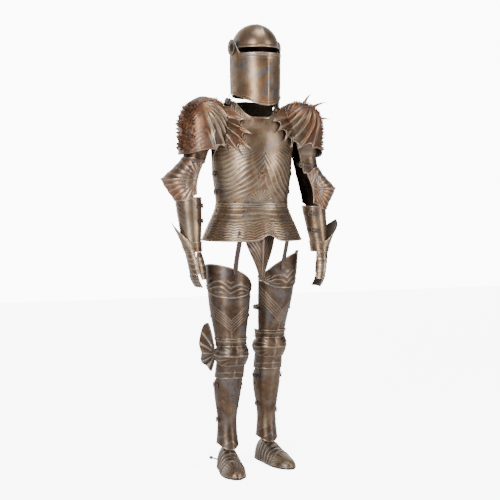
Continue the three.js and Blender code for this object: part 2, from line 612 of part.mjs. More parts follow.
// Legs: each knee is a true hinge, so the greave and the sabaton hang from two rivets inside the knee cop.
const knees = { half: 42, travel: 90, rivet: 6, swell: 10 };
const thighs = {
  right: { inner: 738, outer: 842, crown: 880, low: 716, backTo: 100 },
  left: { inner: 778, outer: 898, crown: 870, low: 746, backTo: 84 },
};
for (const [name, leg] of Object.entries(legs)) {
  const { side, line, knee, foot, toeOut } = leg;
  const core = middleOf(line);
  const thigh = thighs[name];
  const turned = side * 14; // the thigh plates sit a little to the outside
  const topLine = (s) => mix(thigh.inner, thigh.outer, (side * s + 1) / 2) + (thigh.crown - 826) * (1 - s * s);
  const upper = (u, v) => {
    const s = 2 * u - 1;
    const low = thigh.low + 46 * s * s;
    return around(line, turned + thigh.backTo * s, mix(low, Math.max(topLine(s), low + 8), v), lap - 0.4);
  };
  const scales = (u, v) => 2.2 * Math.abs(Math.sin(2.5 * Math.PI * v));
  add("cuisse_top_" + name, shell({ columns: 14, rows: 5, place: upper, relief: scales, core }), steelBrown);

  const lower = (u, v) => {
    const s = 2 * u - 1;
    return around(line, turned + thigh.backTo * s, mix(knee.z + 58, thigh.low + 26 + 40 * s * s, v));
  };
  const chevrons = (u, v) => 2.4 * bump((((v - 0.32 - 0.5 * Math.abs(u - 0.5)) * 9 + 0.5) % 1) - 0.5);
  const band = (u, v) => chevrons(u, v) * bump((v - 0.5) / 0.22);
  add("cuisse_" + name, shell({ columns: 14, rows: 6, place: lower, relief: band, core }), steelBrown);

  const lame = (u, v) => around(line, 96 * (2 * u - 1), mix(knee.z + 26, knee.z + 72, v), lap);
  add("knee_lame_" + name, shell({ columns: 14, rows: 1, place: lame, core }), steelBrown);

  const cap = (u, v) => {
    const high = 2 * v - 1;
    const narrow = 1 - 0.35 * smooth(0.5, 1, Math.abs(2 * u - 1));
    const out = 2 * lap + 1.5 - 2 * smooth(0.5, 1, high) + knees.swell * (1 - high * high);
    return around(line, 96 * (2 * u - 1), knee.z + knees.half * high * narrow, out);
  };
  const copPlate = shell({ columns: 14, rows: 4, place: cap, core });
  const rivets = [-1, 1].map((to) => {
    const s = station(line, knee.z);
    const inner = new THREE.Vector3(s.x + to * (s.wide + lap + 1.1), knee.y, knee.z);
    const outer = new THREE.Vector3(s.x + to * (s.wide + 2 * lap + knees.swell + 4), knee.y, knee.z);
    return pin(inner, outer, knees.rivet, 10);
  });
  add("poleyn_" + name, joined(copPlate, ...rivets), steelBrown);

  const shank = (u, v) => {
    const s = 2 * u - 1;
    const top = mix(knee.z - 26, knee.z + 11, smooth(0.72, 0.84, Math.abs(s)));
    return around(line, 100 * s, mix(knee.z - 96, top, v), lap);
  };
  add("demigreave_" + name, shell({ columns: 16, rows: 3, place: shank, core }), steelBrown);
  for (const [half, from, to, top] of [["front", -89.5, 89.5, knee.z - 60], ["back", 90.5, 269.5, knee.z - 112]])
    add(
      "greave_" + half + "_" + name,
      shell({
        columns: 10,
        rows: 5,
        place: (u, v) => {
          const angle = mix(from, to, u);
          return around(line, angle, mix(106 - 21.4 * Math.max(0, Math.cos(rad(angle))) ** 2, top, v));
        },
        core,
      }),
      steelBrown,
    );

  // Foot, in its own frame: its stations run from the heel to the toe.
  const footLine = [
    { z: -62, wide: 24, high: 62 },
    { z: -40, wide: 36, high: 84 },
    { z: 0, wide: 43, high: 99 },
    { z: 40, wide: 44, high: 88 },
    { z: 90, wide: 48, high: 66 },
    { z: 140, wide: 49, high: 52 },
    { z: 185, wide: 38, high: 38 },
    { z: 218, wide: 12, high: 22 },
  ];
  const soleThick = 6;
  const footGroup = new THREE.Group();
  footGroup.position.set(foot.x, foot.y, 0);
  footGroup.rotation.z = rad(toeOut);
  suit.add(footGroup);
  const arch = (from, to, step) => (u, v) => {
    const along = mix(from, to, v);
    const s = station(footLine, along);
    const a = rad(180 * u);
    const out = step * v;
    return new THREE.Vector3(
      (s.wide + out) * Math.cos(a),
      -along,
      soleThick + seam + (s.high - soleThick - seam + out) * Math.sin(a),
    );
  };
  const footCore = (p) => new THREE.Vector3(0, p.y, soleThick);
  const lames = [
    ["heel", -60, 3.2, 0, 3],
    ["instep", 4 + seam, 74, 2.5, 3],
    ["lame_a", 74 + seam, 98, 2.5, 1],
    ["lame_b", 98 + seam, 122, 2.5, 1],
    ["toe", 122 + seam, 216, 0, 4],
  ];
  for (const [piece, from, to, step, rows] of lames) {
    const made = shell({ columns: 10, rows, place: arch(from, to, step), core: footCore });
    add("sabaton_" + piece + "_" + name, made, piece === "toe" ? steelTan : steelBrown, footGroup);
  }
  const outline = new THREE.Shape();
  const stations = Array.from({ length: 11 }, (_, k) => mix(-64, 220, k / 10));
  stations.forEach((along, k) => outline[k ? "lineTo" : "moveTo"](station(footLine, along).wide + 2, -along));
  stations.reverse().forEach((along) => outline.lineTo(-station(footLine, along).wide - 2, -along));
  const sole = new THREE.ExtrudeGeometry(outline, { depth: soleThick, bevelEnabled: false });
  add("sole_" + name, sole, leather, footGroup);
}

// The right knee carries a fan of plate on its outer side.
const fanHinge = { x: -178, y: -48.9, z: 484 };
function fanPoint(u, v) {
  const tilt = rad(mix(-88, 82, u));
  const reach = (60 + 58 * bump((u - 0.93) / 0.2) + 6 * Math.cos(6 * Math.PI * u)) * v + 8;
  const lean = 0.62 + 0.25 * v;
  return new THREE.Vector3(
    fanHinge.x - reach * Math.cos(tilt) * lean * 0.55 - 14 * v * v,
    fanHinge.y + reach * Math.cos(tilt) * 0.8,
    fanHinge.z + reach * Math.sin(tilt),
  );
}
const fanRelief = (u, v) => 3 * Math.abs(Math.cos(4 * Math.PI * u)) * smooth(0, 0.3, v);
const fanCore = () => new THREE.Vector3(-100, 0, 480);
add("knee_wing", shell({ columns: 16, rows: 4, place: fanPoint, relief: fanRelief, core: fanCore }), steelTan);

// Leather: a strap over each shoulder, a belt round the waist and a strap that hangs each thigh plate.
for (const [name, side] of [["right", -1], ["left", 1]]) {
  const over = (u, v) => {
    const z = 1500 + 26 * Math.sin(Math.PI * v) + 24 * (u - 0.5);
    return around(torso, side * mix(46, 132, v), z, leatherWall + 1.1);
  };
  add("shoulder_strap_" + name, shell({ columns: 2, rows: 10, place: over, core: torsoCore, wall: leatherWall }), leather);
}

const hangers = {
  right: { turn: -30, top: 846, tuck: 2.0, seat: 3.1 },
  left: { turn: 31, top: 858, tuck: 3.2, seat: 2.7 },
};
for (const [name, { turn, top, tuck, seat }] of Object.entries(hangers)) {
  const { line } = legs[name];
  const hang = (u, v) => {
    const across = 22 * (u - 0.5);
    const onFauld = (z, gap) => around(torso, turn + (across / 205) * 57.3, z, -plateWall - gap);
    const onThigh = (z) => around(line, (across / 96) * 57.3, z, lap + seat + leatherWall);
    const path = new THREE.CatmullRomCurve3([onFauld(1005, 8), onFauld(965, tuck), onThigh(top + 8), onThigh(top - 34)]);
    return path.getPoint(v);
  };
  add("thigh_strap_" + name, shell({ columns: 2, rows: 9, place: hang, core: middleOf(line), wall: leatherWall }), leather);
}

suit.position.z = -neckHeight;
export default suit;
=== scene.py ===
import bmesh
import bpy
import math
import numpy as np
from mathutils import Matrix, Vector


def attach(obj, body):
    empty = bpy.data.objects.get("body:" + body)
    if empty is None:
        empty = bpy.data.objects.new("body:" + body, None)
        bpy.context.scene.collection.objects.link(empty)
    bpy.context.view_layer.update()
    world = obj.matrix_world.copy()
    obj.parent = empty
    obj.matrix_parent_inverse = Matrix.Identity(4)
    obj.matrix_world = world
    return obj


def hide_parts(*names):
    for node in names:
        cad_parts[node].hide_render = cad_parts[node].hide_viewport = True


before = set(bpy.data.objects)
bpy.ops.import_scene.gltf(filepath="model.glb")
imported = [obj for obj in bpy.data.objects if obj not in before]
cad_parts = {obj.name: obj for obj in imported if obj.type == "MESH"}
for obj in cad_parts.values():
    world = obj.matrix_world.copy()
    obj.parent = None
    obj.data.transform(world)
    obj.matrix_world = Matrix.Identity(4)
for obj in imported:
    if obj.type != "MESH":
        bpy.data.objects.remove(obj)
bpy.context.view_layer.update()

neckHeight = 1490.0  # mm from the floor to the neck opening, the frame's origin
millimetre = 0.001  # in metres
wallThick = 2.0
lapGap = 3.2  # from a plate to the one that laps over it
# The plain inner faces of a plate take every third row and column, and are darkened; bright wear with painted
# highlight on raised relief, and the darkening of hollows, are full at the relief step set here
meshSet = dict(density=0.82, stride=3, crowd=0.1, wearHighlightStep=0.75, innerDarken=-0.8)
print("frame loaded")

# Sections up the body, in mm above the floor: the middle x and y, half width, depth before and behind
torso = dict(
    z=[930, 1010, 1060, 1096, 1150, 1220, 1300, 1380, 1440, 1490, 1540],
    x=[0] * 11, y=[0] * 11,
    wide=[222, 188, 166, 155, 159, 166, 171, 172, 160, 134, 100],
    front=[190, 156, 131, 118, 133, 150, 152, 140, 114, 84, 56],
    back=[182, 146, 117, 104, 108, 116, 124, 125, 112, 92, 66])
helmetLine = dict(z=[1495, 1600, 1720, 1760], x=[0] * 4, y=[0] * 4, wide=[90, 93, 94, 93],
                  front=[112, 114, 112, 107], back=[100, 106, 112, 110])
armLine = {
    "right": dict(z=[760, 850, 925, 1010, 1110, 1195, 1270, 1400],
                  x=[-244, -253, -262, -266, -272, -276, -247, -216], y=[-30, -22, -8, 4, 12, 20, 12, 4],
                  wide=[24, 30, 36, 46, 54, 56, 52, 60], front=[46, 48, 42, 50, 58, 60, 56, 62],
                  back=[40, 44, 42, 50, 56, 60, 56, 60]),
    "left": dict(z=[750, 840, 915, 985, 1075, 1160, 1240, 1400],
                 x=[282, 296, 303, 297, 288, 286, 252, 217], y=[-34, -26, -12, 0, 12, 20, 14, 4],
                 wide=[24, 30, 36, 42, 50, 56, 52, 60], front=[46, 48, 42, 46, 56, 60, 56, 62],
                 back=[40, 44, 42, 46, 52, 60, 56, 60])}
legLine = {
    "right": dict(z=[100, 200, 330, 410, 480, 560, 680, 800, 900],
                  x=[-121, -121, -118, -114, -112, -112, -112, -112, -114],
                  y=[-38, -34, -34, -48, -58, -52, -40, -32, -26],
                  wide=[46, 40, 57, 57, 56, 66, 84, 92, 94], front=[54, 43, 56, 60, 62, 68, 84, 90, 90],
                  back=[50, 44, 64, 60, 56, 62, 78, 86, 90]),
    "left": dict(z=[100, 200, 330, 420, 497, 580, 690, 800, 910],
                 x=[87, 87, 87, 89, 92, 95, 102, 108, 112], y=[52, 54, 54, 44, 36, 34, 24, 14, 8],
                 wide=[46, 40, 57, 57, 56, 66, 80, 90, 94], front=[54, 43, 56, 60, 62, 68, 84, 90, 90],
                 back=[50, 44, 64, 60, 56, 62, 78, 86, 90])}
footPlace = {"right": dict(x=-121, y=-38, toeOut=-8), "left": dict(x=87, y=52, toeOut=8)}
kneePoint = {"right": (-112, -58, 480), "left": (92, 36, 497)}
sideSign = {"right": -1, "left": 1}


def smooth(a, b, t):
    k = np.clip((np.asarray(t, float) - a) / (b - a), 0, 1)
    return k * k * (3 - 2 * k)


def bump(t):
    return np.exp(-np.square(t))


def mix(a, b, t):
    return a + (b - a) * t


def ridge(f, sharp=1.6):  # a cusped flute at each whole number
    return (1 - np.abs(np.sin(np.pi * f))) ** sharp


def lines(f, wide):  # a narrow raised line at each whole number
    return np.exp(-np.square((f - np.round(f)) / wide))


def vec(x, y, z):
    return np.stack(np.broadcast_arrays(np.asarray(x, float), y, z), -1)


def unit(v, least=0.0):
    return v / np.maximum(np.linalg.norm(v, axis=-1, keepdims=True), least)


def readColumn(zs, values, z):  # smooth curve through the rows, as the plates were laid out
    zs, values = np.asarray(zs, float), np.asarray(values, float)
    n = len(zs)
    i = np.clip(np.searchsorted(zs, z, side="left") - 1, 0, n - 2)
    i0, i1, i2, i3 = np.maximum(i - 1, 0), i, i + 1, np.minimum(i + 2, n - 1)
    step = zs[i2] - zs[i1]
    t = (z - zs[i1]) / step
    before = (values[i2] - values[i0]) / np.maximum(1, zs[i2] - zs[i0]) * step
    after = (values[i3] - values[i1]) / np.maximum(1, zs[i3] - zs[i1]) * step
    h = t * t * (3 - 2 * t)
    return mix(values[i1], values[i2], h) + before * t * (1 - t) ** 2 - after * t * t * (1 - t)


def section(line, z):
    z = np.asarray(z, float)
    return {k: readColumn(line["z"], line[k], z) for k in ("x", "y", "wide", "front", "back")}


def around(line, angle, z, out=0.0):  # angle in degrees from the front towards the wearer's left
    angle, z, out = np.broadcast_arrays(np.asarray(angle, float), z, out)
    s = section(line, z)
    a = np.radians(angle)
    depth = np.where(np.cos(a) > 0, s["front"], s["back"]) + out
    return vec(s["x"] + (s["wide"] + out) * np.sin(a), s["y"] - depth * np.cos(a), z)


def coreOf(line):
    def core(p):
        s = section(line, p[..., 2])
        return vec(s["x"], s["y"], p[..., 2])
    return core


def standing(x, y, turn):  # a place on the floor, turned about the vertical
    return Matrix.Translation((x, y, 0)) @ Matrix.Rotation(math.radians(turn), 4, "Z")


def awayFrom(core, grid):
    return grid - (core(grid) if callable(core) else np.asarray(core, float))


def bandFaces(rings, count, joined=False):  # quads between rings of points; joined, the last meets the first
    last = rings if joined else rings - 1
    return [(j * count + k, j * count + (k + 1) % count,
             (j + 1) % rings * count + (k + 1) % count, (j + 1) % rings * count + k)
            for j in range(last) for k in range(count)]


def endFaces(rings, count):
    return [tuple(range(count))[::-1], tuple((rings - 1) * count + k for k in range(count))]


def inFrame(points):  # millimetres above the floor become metres in the frame
    return (np.asarray(points, float) - [0, 0, neckHeight]) * millimetre


def addObject(name, mesh):
    obj = bpy.data.objects.new(name, mesh)
    bpy.context.collection.objects.link(obj)
    return obj


def newMesh(name, points, faces, mats, body, nodes=(), worn=None):
    mesh = bpy.data.meshes.new(name)
    mesh.from_pydata(inFrame(points).tolist(), [], faces)
    mesh.validate()
    mesh.polygons.foreach_set("use_smooth", [True] * len(mesh.polygons))
    if worn is not None and len(worn) == len(mesh.vertices):
        wearHighlightData = mesh.attributes.new("worn", "FLOAT", "POINT")
        wearHighlightData.data.foreach_set("value", np.asarray(worn, np.float32))
    for m in mats if isinstance(mats, list) else [mats]:
        mesh.materials.append(m)
    obj = addObject(name, mesh)
    if body:
        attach(obj, body)
    if nodes:
        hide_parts(*nodes)
    return obj


def softened(r, wraps, reach=3):
    for axis in (0, 1):
        n = r.shape[axis]
        steps = np.arange(n)[None, :] + np.arange(-reach, reach + 1)[:, None]
        steps = steps % n if wraps and axis == 0 else np.clip(steps, 0, n - 1)
        r = np.take(r, steps, axis=axis).mean(axis=axis)
    return r


def gradientOver(p, axis, wraps):
    if wraps:
        return np.roll(p, -1, axis) - np.roll(p, 1, axis)
    return np.gradient(p, axis=axis, edge_order=2)


def lengthAlong(grid, axis):
    steps = np.cumsum(np.linalg.norm(np.diff(grid, axis=axis), axis=-1), axis)
    start = np.zeros_like(steps[:, :1] if axis else steps[:1])
    return np.concatenate([start, steps], axis)


def edgeDistance(grid, ring, pole):
    alongV = lengthAlong(grid, 1)
    edge = alongV if pole else np.minimum(alongV, alongV[:, -1:] - alongV)
    if ring:
        return edge
    alongU = lengthAlong(grid, 0)
    return np.minimum(edge, np.minimum(alongU, alongU[-1:] - alongU))


def crowded(t):  # finer near the edges, for the rolled rims
    return t - meshSet["crowd"] * np.sin(2 * np.pi * t)


def plateArrays(place, core, columns, rows, relief=None, ring=False, pole=False, rim=(3.2, 1.6), turn=None):
    stride, density = meshSet["stride"], meshSet["density"]
    columns, rows = (stride * round(n * density / stride) for n in (columns, rows))
    u = np.arange(columns) / columns if ring else crowded(np.linspace(0, 1, columns + 1))
    v = crowded(np.linspace(0, 1, rows + 1))
    us, vs = np.meshgrid(u, v, indexing="ij")
    grid = place(us, vs)
    if turn is not None:
        grid = grid @ np.array(turn.to_3x3().transposed()) + np.array(turn.translation)
    normals = unit(np.cross(gradientOver(grid, 0, ring), gradientOver(grid, 1, False)), 1e-9)
    if pole:
        grid[:, -1] = grid[:, -1].mean(0)
        normals[:, -1] = unit(normals[:, -2].mean(0))
    normals *= np.sign((normals * awayFrom(core, grid)).sum())
    raised = relief(us, vs) if relief else np.zeros_like(us)
    edge = edgeDistance(grid, ring, pole)
    if rim:  # a round bead along the edge, with the relief faded out before it
        radius, rise = rim
        bead = rise * np.sqrt(np.clip(1 - ((edge - radius) / radius) ** 2, 0, 1))
        raised = raised * smooth(radius * 1.2, radius * 3.2, edge) + bead
    if pole:
        raised[:, -1] = raised[:, -1].mean()
    # raised edges wear bright, with a painted highlight; hollows are darkened
    worn = np.clip((raised - softened(raised, ring)) / meshSet["wearHighlightStep"], -1, 1)
    # the rolled rims take full bright wear and painted highlight
    if rim:
        worn = np.maximum(worn, 1 - smooth(rim[0] * 1.5, rim[0] * 2.1, edge))
    return grid, normals, raised, worn


def quads(a, b, c, d):
    return np.stack([a, b, c, d], -1).reshape(-1, 4).tolist()


def sheetMesh(name, arrays, mats, body, nodes, wall=wallThick, ring=False, pole=False):
    grid, normals, raised, worn = arrays
    nu, nv = grid.shape[:2]
    stride = meshSet["stride"]
    outer = grid + normals * raised[..., None]
    inner = (grid - normals * wall)[::stride, ::stride]
    innerCount = inner.shape[0] * inner.shape[1]
    points = np.concatenate([outer.reshape(-1, 3), inner.reshape(-1, 3)])
    ids = np.arange(nu * nv).reshape(nu, nv)
    far = nu * nv + np.arange(innerCount).reshape(inner.shape[:2])
    if ring:
        ids, far = np.concatenate([ids, ids[:1]]), np.concatenate([far, far[:1]])
    faces = quads(ids[:-1, :-1], ids[1:, :-1], ids[1:, 1:], ids[:-1, 1:])
    faces += quads(far[:-1, :-1], far[:-1, 1:], far[1:, 1:], far[1:, :-1])
    rims = [(ids[::-1, 0], far[::-1, 0])]
    if not pole:
        rims.append((ids[:, -1], far[:, -1]))
    if not ring:
        rims += [(ids[0], far[0]), (ids[-1, ::-1], far[-1, ::-1])]
    for near, back in rims:  # one face spans each step of the inner edge
        for k in range(len(back) - 1):
            faces.append([*near[k * stride:(k + 1) * stride + 1].tolist(), int(back[k + 1]), int(back[k])])
    if (np.cross(gradientOver(grid, 0, ring), gradientOver(grid, 1, False)) * normals).sum() < 0:
        faces = [f[::-1] for f in faces]
    # the plain inner faces are set to be darkened
    wearHighlightData = np.concatenate([worn.ravel(), np.full(innerCount, meshSet["innerDarken"])])
    obj = newMesh(name, points, faces, mats, body, nodes, wearHighlightData)
    if pole:
        bm = bmesh.new()
        bm.from_mesh(obj.data)
        bmesh.ops.remove_doubles(bm, verts=bm.verts, dist=1e-6)
        bm.to_mesh(obj.data)
        bm.free()
    return obj


def turned(name, profile, centre, axis, mat, body, nodes=(), sides=48):  # as on a lathe
    axis = Vector(axis).normalized()
    one = axis.orthogonal().normalized()
    two = axis.cross(one)
    points, n = [], len(profile)
    for r, h in profile:
        for k in range(sides):
            a = 2 * math.pi * k / sides
            points.append(Vector(centre) + axis * h + (one * math.cos(a) + two * math.sin(a)) * r)
    heights = [h for r, h in profile]
    # crest rings take full bright wear and painted highlight
    crests = [0 < j < n - 1 and heights[j] > max(heights[j - 1], heights[j + 1]) - 0.01 for j in range(n)]
    worn = np.repeat([1.0 if crest else 0.0 for crest in crests], sides)
    return newMesh(name, points, bandFaces(n, sides) + endFaces(n, sides), mat, body, nodes, worn)


def joinMeshes(parts):
    points, faces = [], []
    for p, f in parts:
        n = len(points)
        points += [tuple(q) for q in p]
        faces += [tuple(i + n for i in face) for face in f]
    return points, faces


# Finishes: one group of patina and painted highlight gives colour and gloss masks to every steel, with its own
# values
patinaAndHighlightSet = dict(
    # noises: scale, detail, roughness and distortion
    cloud=(8.0, 9, 0.64, 0.7), blotch=(26.0, 8, 0.68, 0.5), patch=(11.0, 6, 0.6, 1.3),
    speck=(150.0, 5, 0.7), grain=(700.0, 3, 0.6), drift=(4.3, 4, 0.5),
    brownFrom=0.86, brownSpan=0.6, rustFrom=0.98, rustSpan=0.75, edge=4.2, cloudBand=(0.47, 0.66),
    speckBand=(0.58, 0.72), deepBand=(0.46, 0.33), pitShare=0.8, pits=(0.030, 0.019, 0.013, 1),
    hollowDarkShare=0.86, hollowDark=(0.014, 0.009, 0.006, 1), wearHighlightShare=0.54, wearHighlight=(0.46, 0.38, 0.30, 1),
    metallic=0.84, bumpDepth=0.0010)


def socket(group, name, kind, way, value=None):
    s = group.interface.new_socket(name=name, in_out=way, socket_type="NodeSocket" + kind)
    if value is not None:
        s.default_value = value
    return s


def link(tree, a, b):
    tree.links.new(a, b)


def mathNode(tree, operation, a, b=None, clamp=False):
    n = tree.nodes.new("ShaderNodeMath")
    n.operation, n.use_clamp = operation, clamp
    for i, value in enumerate([a, b]):
        if value is None:
            continue
        if isinstance(value, (int, float)):
            n.inputs[i].default_value = value
        else:
            link(tree, value, n.inputs[i])
    return n.outputs[0]


def noiseNode(tree, coordinates, scale, detail=6.0, rough=0.6, distortion=0.0):
    n = tree.nodes.new("ShaderNodeTexNoise")
    n.inputs["Scale"].default_value = scale
    n.inputs["Detail"].default_value = detail
    n.inputs["Roughness"].default_value = rough
    n.inputs["Distortion"].default_value = distortion
    link(tree, coordinates, n.inputs["Vector"])
    return n.outputs["Fac"]


def rampMask(tree, value, low, high):
    n = tree.nodes.new("ShaderNodeMapRange")
    n.interpolation_type = "SMOOTHSTEP"
    link(tree, value, n.inputs["Value"])
    n.inputs["From Min"].default_value = low
    n.inputs["From Max"].default_value = high
    return n.outputs["Result"]


def mixColour(tree, factor, a, b):
    n = tree.nodes.new("ShaderNodeMix")
    n.data_type = "RGBA"
    for value, s in ((factor, n.inputs[0]), (a, n.inputs[6]), (b, n.inputs[7])):
        if isinstance(value, (int, float, tuple)):
            s.default_value = value
        else:
            link(tree, value, s)
    return n.outputs[2]


def bumpNode(tree, height, strength, depth, shader):
    b = tree.nodes.new("ShaderNodeBump")
    b.inputs["Strength"].default_value = strength
    b.inputs["Distance"].default_value = depth
    link(tree, height, b.inputs["Height"])
    link(tree, b.outputs[0], shader.inputs["Normal"])


def patinaAndHighlightGroup():
    g, p = bpy.data.node_groups.new("agedSteelAndHighlight", "ShaderNodeTree"), patinaAndHighlightSet
    for name in ("Steel", "Brown", "Rust", "Cloud"):
        socket(g, name, "Color", "INPUT", (0.3, 0.2, 0.15, 1))
    for name in ("Brown Amount", "Rust Amount", "Cloud Amount", "Gloss"):
        socket(g, name, "Float", "INPUT", 0.4)
    for name, kind in (("Colour", "Color"), ("Roughness", "Float"), ("Height", "Float")):
        socket(g, name, kind, "OUTPUT")
    ins, outs = g.nodes.new("NodeGroupInput").outputs, g.nodes.new("NodeGroupOutput").inputs
    where = g.nodes.new("ShaderNodeTexCoord").outputs["Object"]
    wearHighlightData = g.nodes.new("ShaderNodeAttribute")
    wearHighlightData.attribute_name = "worn"
    worn = wearHighlightData.outputs["Fac"]

    def times(one, two, clamp=False):
        return mathNode(g, "MULTIPLY", one, two, clamp)

    def plus(one, two):
        return mathNode(g, "ADD", one, two)

    def less(one, two):
        return mathNode(g, "SUBTRACT", one, two)

    cloud, blotch, patch, speck, grain, drift = (
        noiseNode(g, where, *p[key]) for key in ("cloud", "blotch", "patch", "speck", "grain", "drift"))
    brownShift = less(p["brownFrom"], times(ins["Brown Amount"], p["brownSpan"]))
    brownMask = times(less(plus(cloud, times(blotch, 0.35)), brownShift), p["edge"], True)
    rustShift = less(p["rustFrom"], times(ins["Rust Amount"], p["rustSpan"]))
    rustMask = times(less(plus(blotch, times(drift, 0.45)), rustShift), p["edge"], True)
    cloudMask = times(rampMask(g, patch, *p["cloudBand"]), ins["Cloud Amount"])
    colour = mixColour(g, brownMask, ins["Steel"], ins["Brown"])
    colour = mixColour(g, rustMask, colour, ins["Rust"])
    colour = mixColour(g, cloudMask, colour, ins["Cloud"])
    dark = rampMask(g, speck, *p["speckBand"])
    deep = rampMask(g, blotch, *p["deepBand"])
    pits = times(plus(times(dark, 0.5), times(deep, 0.5)), p["pitShare"], True)
    colour = mixColour(g, pits, colour, p["pits"])
    # negative values darken the hollows and the plain inner faces
    hollowDark = times(times(worn, -1.0, True), p["hollowDarkShare"])
    colour = mixColour(g, hollowDark, colour, p["hollowDark"])
    # painted highlight: raised relief, rims and crests are lightened along with their bright wear
    wearHighlight = times(times(worn, 1.0, True), plus(0.15, blotch), True)
    colour = mixColour(g, times(wearHighlight, p["wearHighlightShare"]), colour, p["wearHighlight"])
    link(g, colour, outs["Colour"])
    rough = plus(plus(ins["Gloss"], times(plus(rustMask, dark), 0.12)), times(blotch, 0.14))
    link(g, less(plus(rough, times(hollowDark, 0.25)), times(wearHighlight, 0.10)), outs["Roughness"])
    link(g, plus(plus(times(speck, 0.7), times(grain, 0.2)), times(blotch, 1.3)), outs["Height"])
    return g


def steelMaterial(name, group, steel, brown, rust, amounts, gloss, dent=0.4):
    m = bpy.data.materials.new(name)
    m.use_nodes = True
    t = m.node_tree
    t.nodes.clear()
    shader, out = t.nodes.new("ShaderNodeBsdfPrincipled"), t.nodes.new("ShaderNodeOutputMaterial")
    link(t, shader.outputs[0], out.inputs[0])
    g = t.nodes.new("ShaderNodeGroup")
    g.node_tree = group
    for key, colour in (("Steel", steel), ("Brown", brown), ("Rust", rust), ("Cloud", slate)):
        g.inputs[key].default_value = (*colour, 1)
    for key, amount in zip(("Brown Amount", "Rust Amount", "Cloud Amount", "Gloss"), (*amounts, gloss)):
        g.inputs[key].default_value = amount
    link(t, g.outputs["Colour"], shader.inputs["Base Color"])
    link(t, g.outputs["Roughness"], shader.inputs["Roughness"])
    shader.inputs["Metallic"].default_value = patinaAndHighlightSet["metallic"]
    bumpNode(t, g.outputs["Height"], dent, patinaAndHighlightSet["bumpDepth"], shader)
    return m


def plainMaterial(name, colour, rough, metal=0.0, grainScale=0.0, glow=None):
    m = bpy.data.materials.new(name)
    m.use_nodes = True
    t = m.node_tree
    shader = t.nodes["Principled BSDF"]
    shader.inputs["Base Color"].default_value = (*colour, 1)
    shader.inputs["Roughness"].default_value = rough
    shader.inputs["Metallic"].default_value = metal
    if glow:  # a lit studio sweep: bright where it is seen, mild where it lights the plates
        shader.inputs["Emission Color"].default_value = (1, 1, 1, 1)
        seen = t.nodes.new("ShaderNodeLightPath").outputs["Is Camera Ray"]
        felt = mathNode(t, "ADD", mathNode(t, "MULTIPLY", seen, glow[0] - glow[1]), glow[1])
        link(t, felt, shader.inputs["Emission Strength"])
    if grainScale:
        where = t.nodes.new("ShaderNodeTexCoord").outputs["Object"]
        bumpNode(t, noiseNode(t, where, grainScale, 6, 0.65), 0.4, 0.0008, shader)
        lighter = tuple(min(1, c * 2.1) for c in colour) + (1,)
        rubbed = rampMask(t, noiseNode(t, where, 28, 5, 0.6), 0.42, 0.72)
        link(t, mixColour(t, rubbed, (*colour, 1), lighter), shader.inputs["Base Color"])
    return m


patinaAndHighlight = patinaAndHighlightGroup()
slate = (0.115, 0.115, 0.122)
# Steel, brown and rust colours, the amounts of brown, rust and slate clouds, the roughness and the dents
steelTable = dict(
    tan=("steelTan", (0.27, 0.195, 0.125), (0.115, 0.070, 0.040), (0.19, 0.088, 0.042),
         (0.60, 0.30, 0.50), 0.30),
    grey=("steelGrey", (0.24, 0.165, 0.100), (0.125, 0.073, 0.039), (0.20, 0.092, 0.042),
          (0.56, 0.34, 0.80), 0.31),
    brown=("steelBrown", (0.138, 0.092, 0.059), (0.054, 0.031, 0.019), (0.118, 0.056, 0.030),
           (0.66, 0.28, 0.42), 0.31),
    rust=("steelRust", (0.25, 0.175, 0.115), (0.098, 0.047, 0.024), (0.175, 0.066, 0.027),
          (0.58, 0.48, 0.45), 0.30),
    scale=("steelScale", (0.145, 0.082, 0.047), (0.066, 0.034, 0.019), (0.165, 0.065, 0.028),
           (0.62, 0.50, 0.35), 0.31),
    rivet=("rivetSteel", (0.18, 0.13, 0.09), (0.08, 0.05, 0.033), (0.13, 0.06, 0.03),
           (0.6, 0.2, 0.1), 0.3, 0.1))
finishes = {key: steelMaterial(name, patinaAndHighlight, *values) for key, (name, *values) in steelTable.items()}
finishes["leather"] = plainMaterial("strapLeather", (0.024, 0.011, 0.007), 0.5, grainScale=420)
finishes["sole"] = plainMaterial("soleLeather", (0.018, 0.014, 0.012), 0.6, grainScale=420)
finishes["buckle"] = plainMaterial("buckleSteel", (0.16, 0.12, 0.09), 0.42, metal=0.9)
print("finishes ready")


def plate(name, node, place, core, mesh, finish, slotName, relief=None, body="harness", wall=wallThick,
          ring=False, pole=False, rim=(3.2, 1.6), turn=None):  # rim: radius and rise of the rolled edge
    arrays = plateArrays(place, core, *mesh, relief, ring, pole, rim, turn)
    return sheetMesh(name, arrays, finishes[finish], body, [node], wall, ring, pole)


# Helmet: round skull and a keeled visor that swings on two rondels
helmetSet = dict(middle=(10, -12), turn=5, rise=1745, crown=1841)
skullSet = dict(mesh=(180, 96), hem=1548, dip=10, faceTop=1738, faceEdge=(72, 98), comb=1.6, combWide=2.2,
                combFrom=(0.62, 0.8), combTo=(0.93, 0.99))
visorSet = dict(mesh=(150, 110), reach=104, armEdge=(62, 84), armTop=1766, chin=1500, sweep=52, slitRim=1716,
                out=9, keel=7, keelWide=9.0, keelFade=(1716, 1650), browEdge=(60, 78),
                brow=(3.0, 0.955, 0.022), band=(0.9, 0.90, 0.012), hem=(0.9, 0.07, 0.012),  # rise, place, width
                crease=1.3, creaseFade=(0.6, 0.72))
rondelSet = dict(disc=34, across=103.6, y=4, z=1742)
helmetTurn = standing(*helmetSet["middle"], helmetSet["turn"])


def helmetCore(p):
    return vec(*helmetSet["middle"], np.minimum(p[..., 2], helmetSet["rise"]))


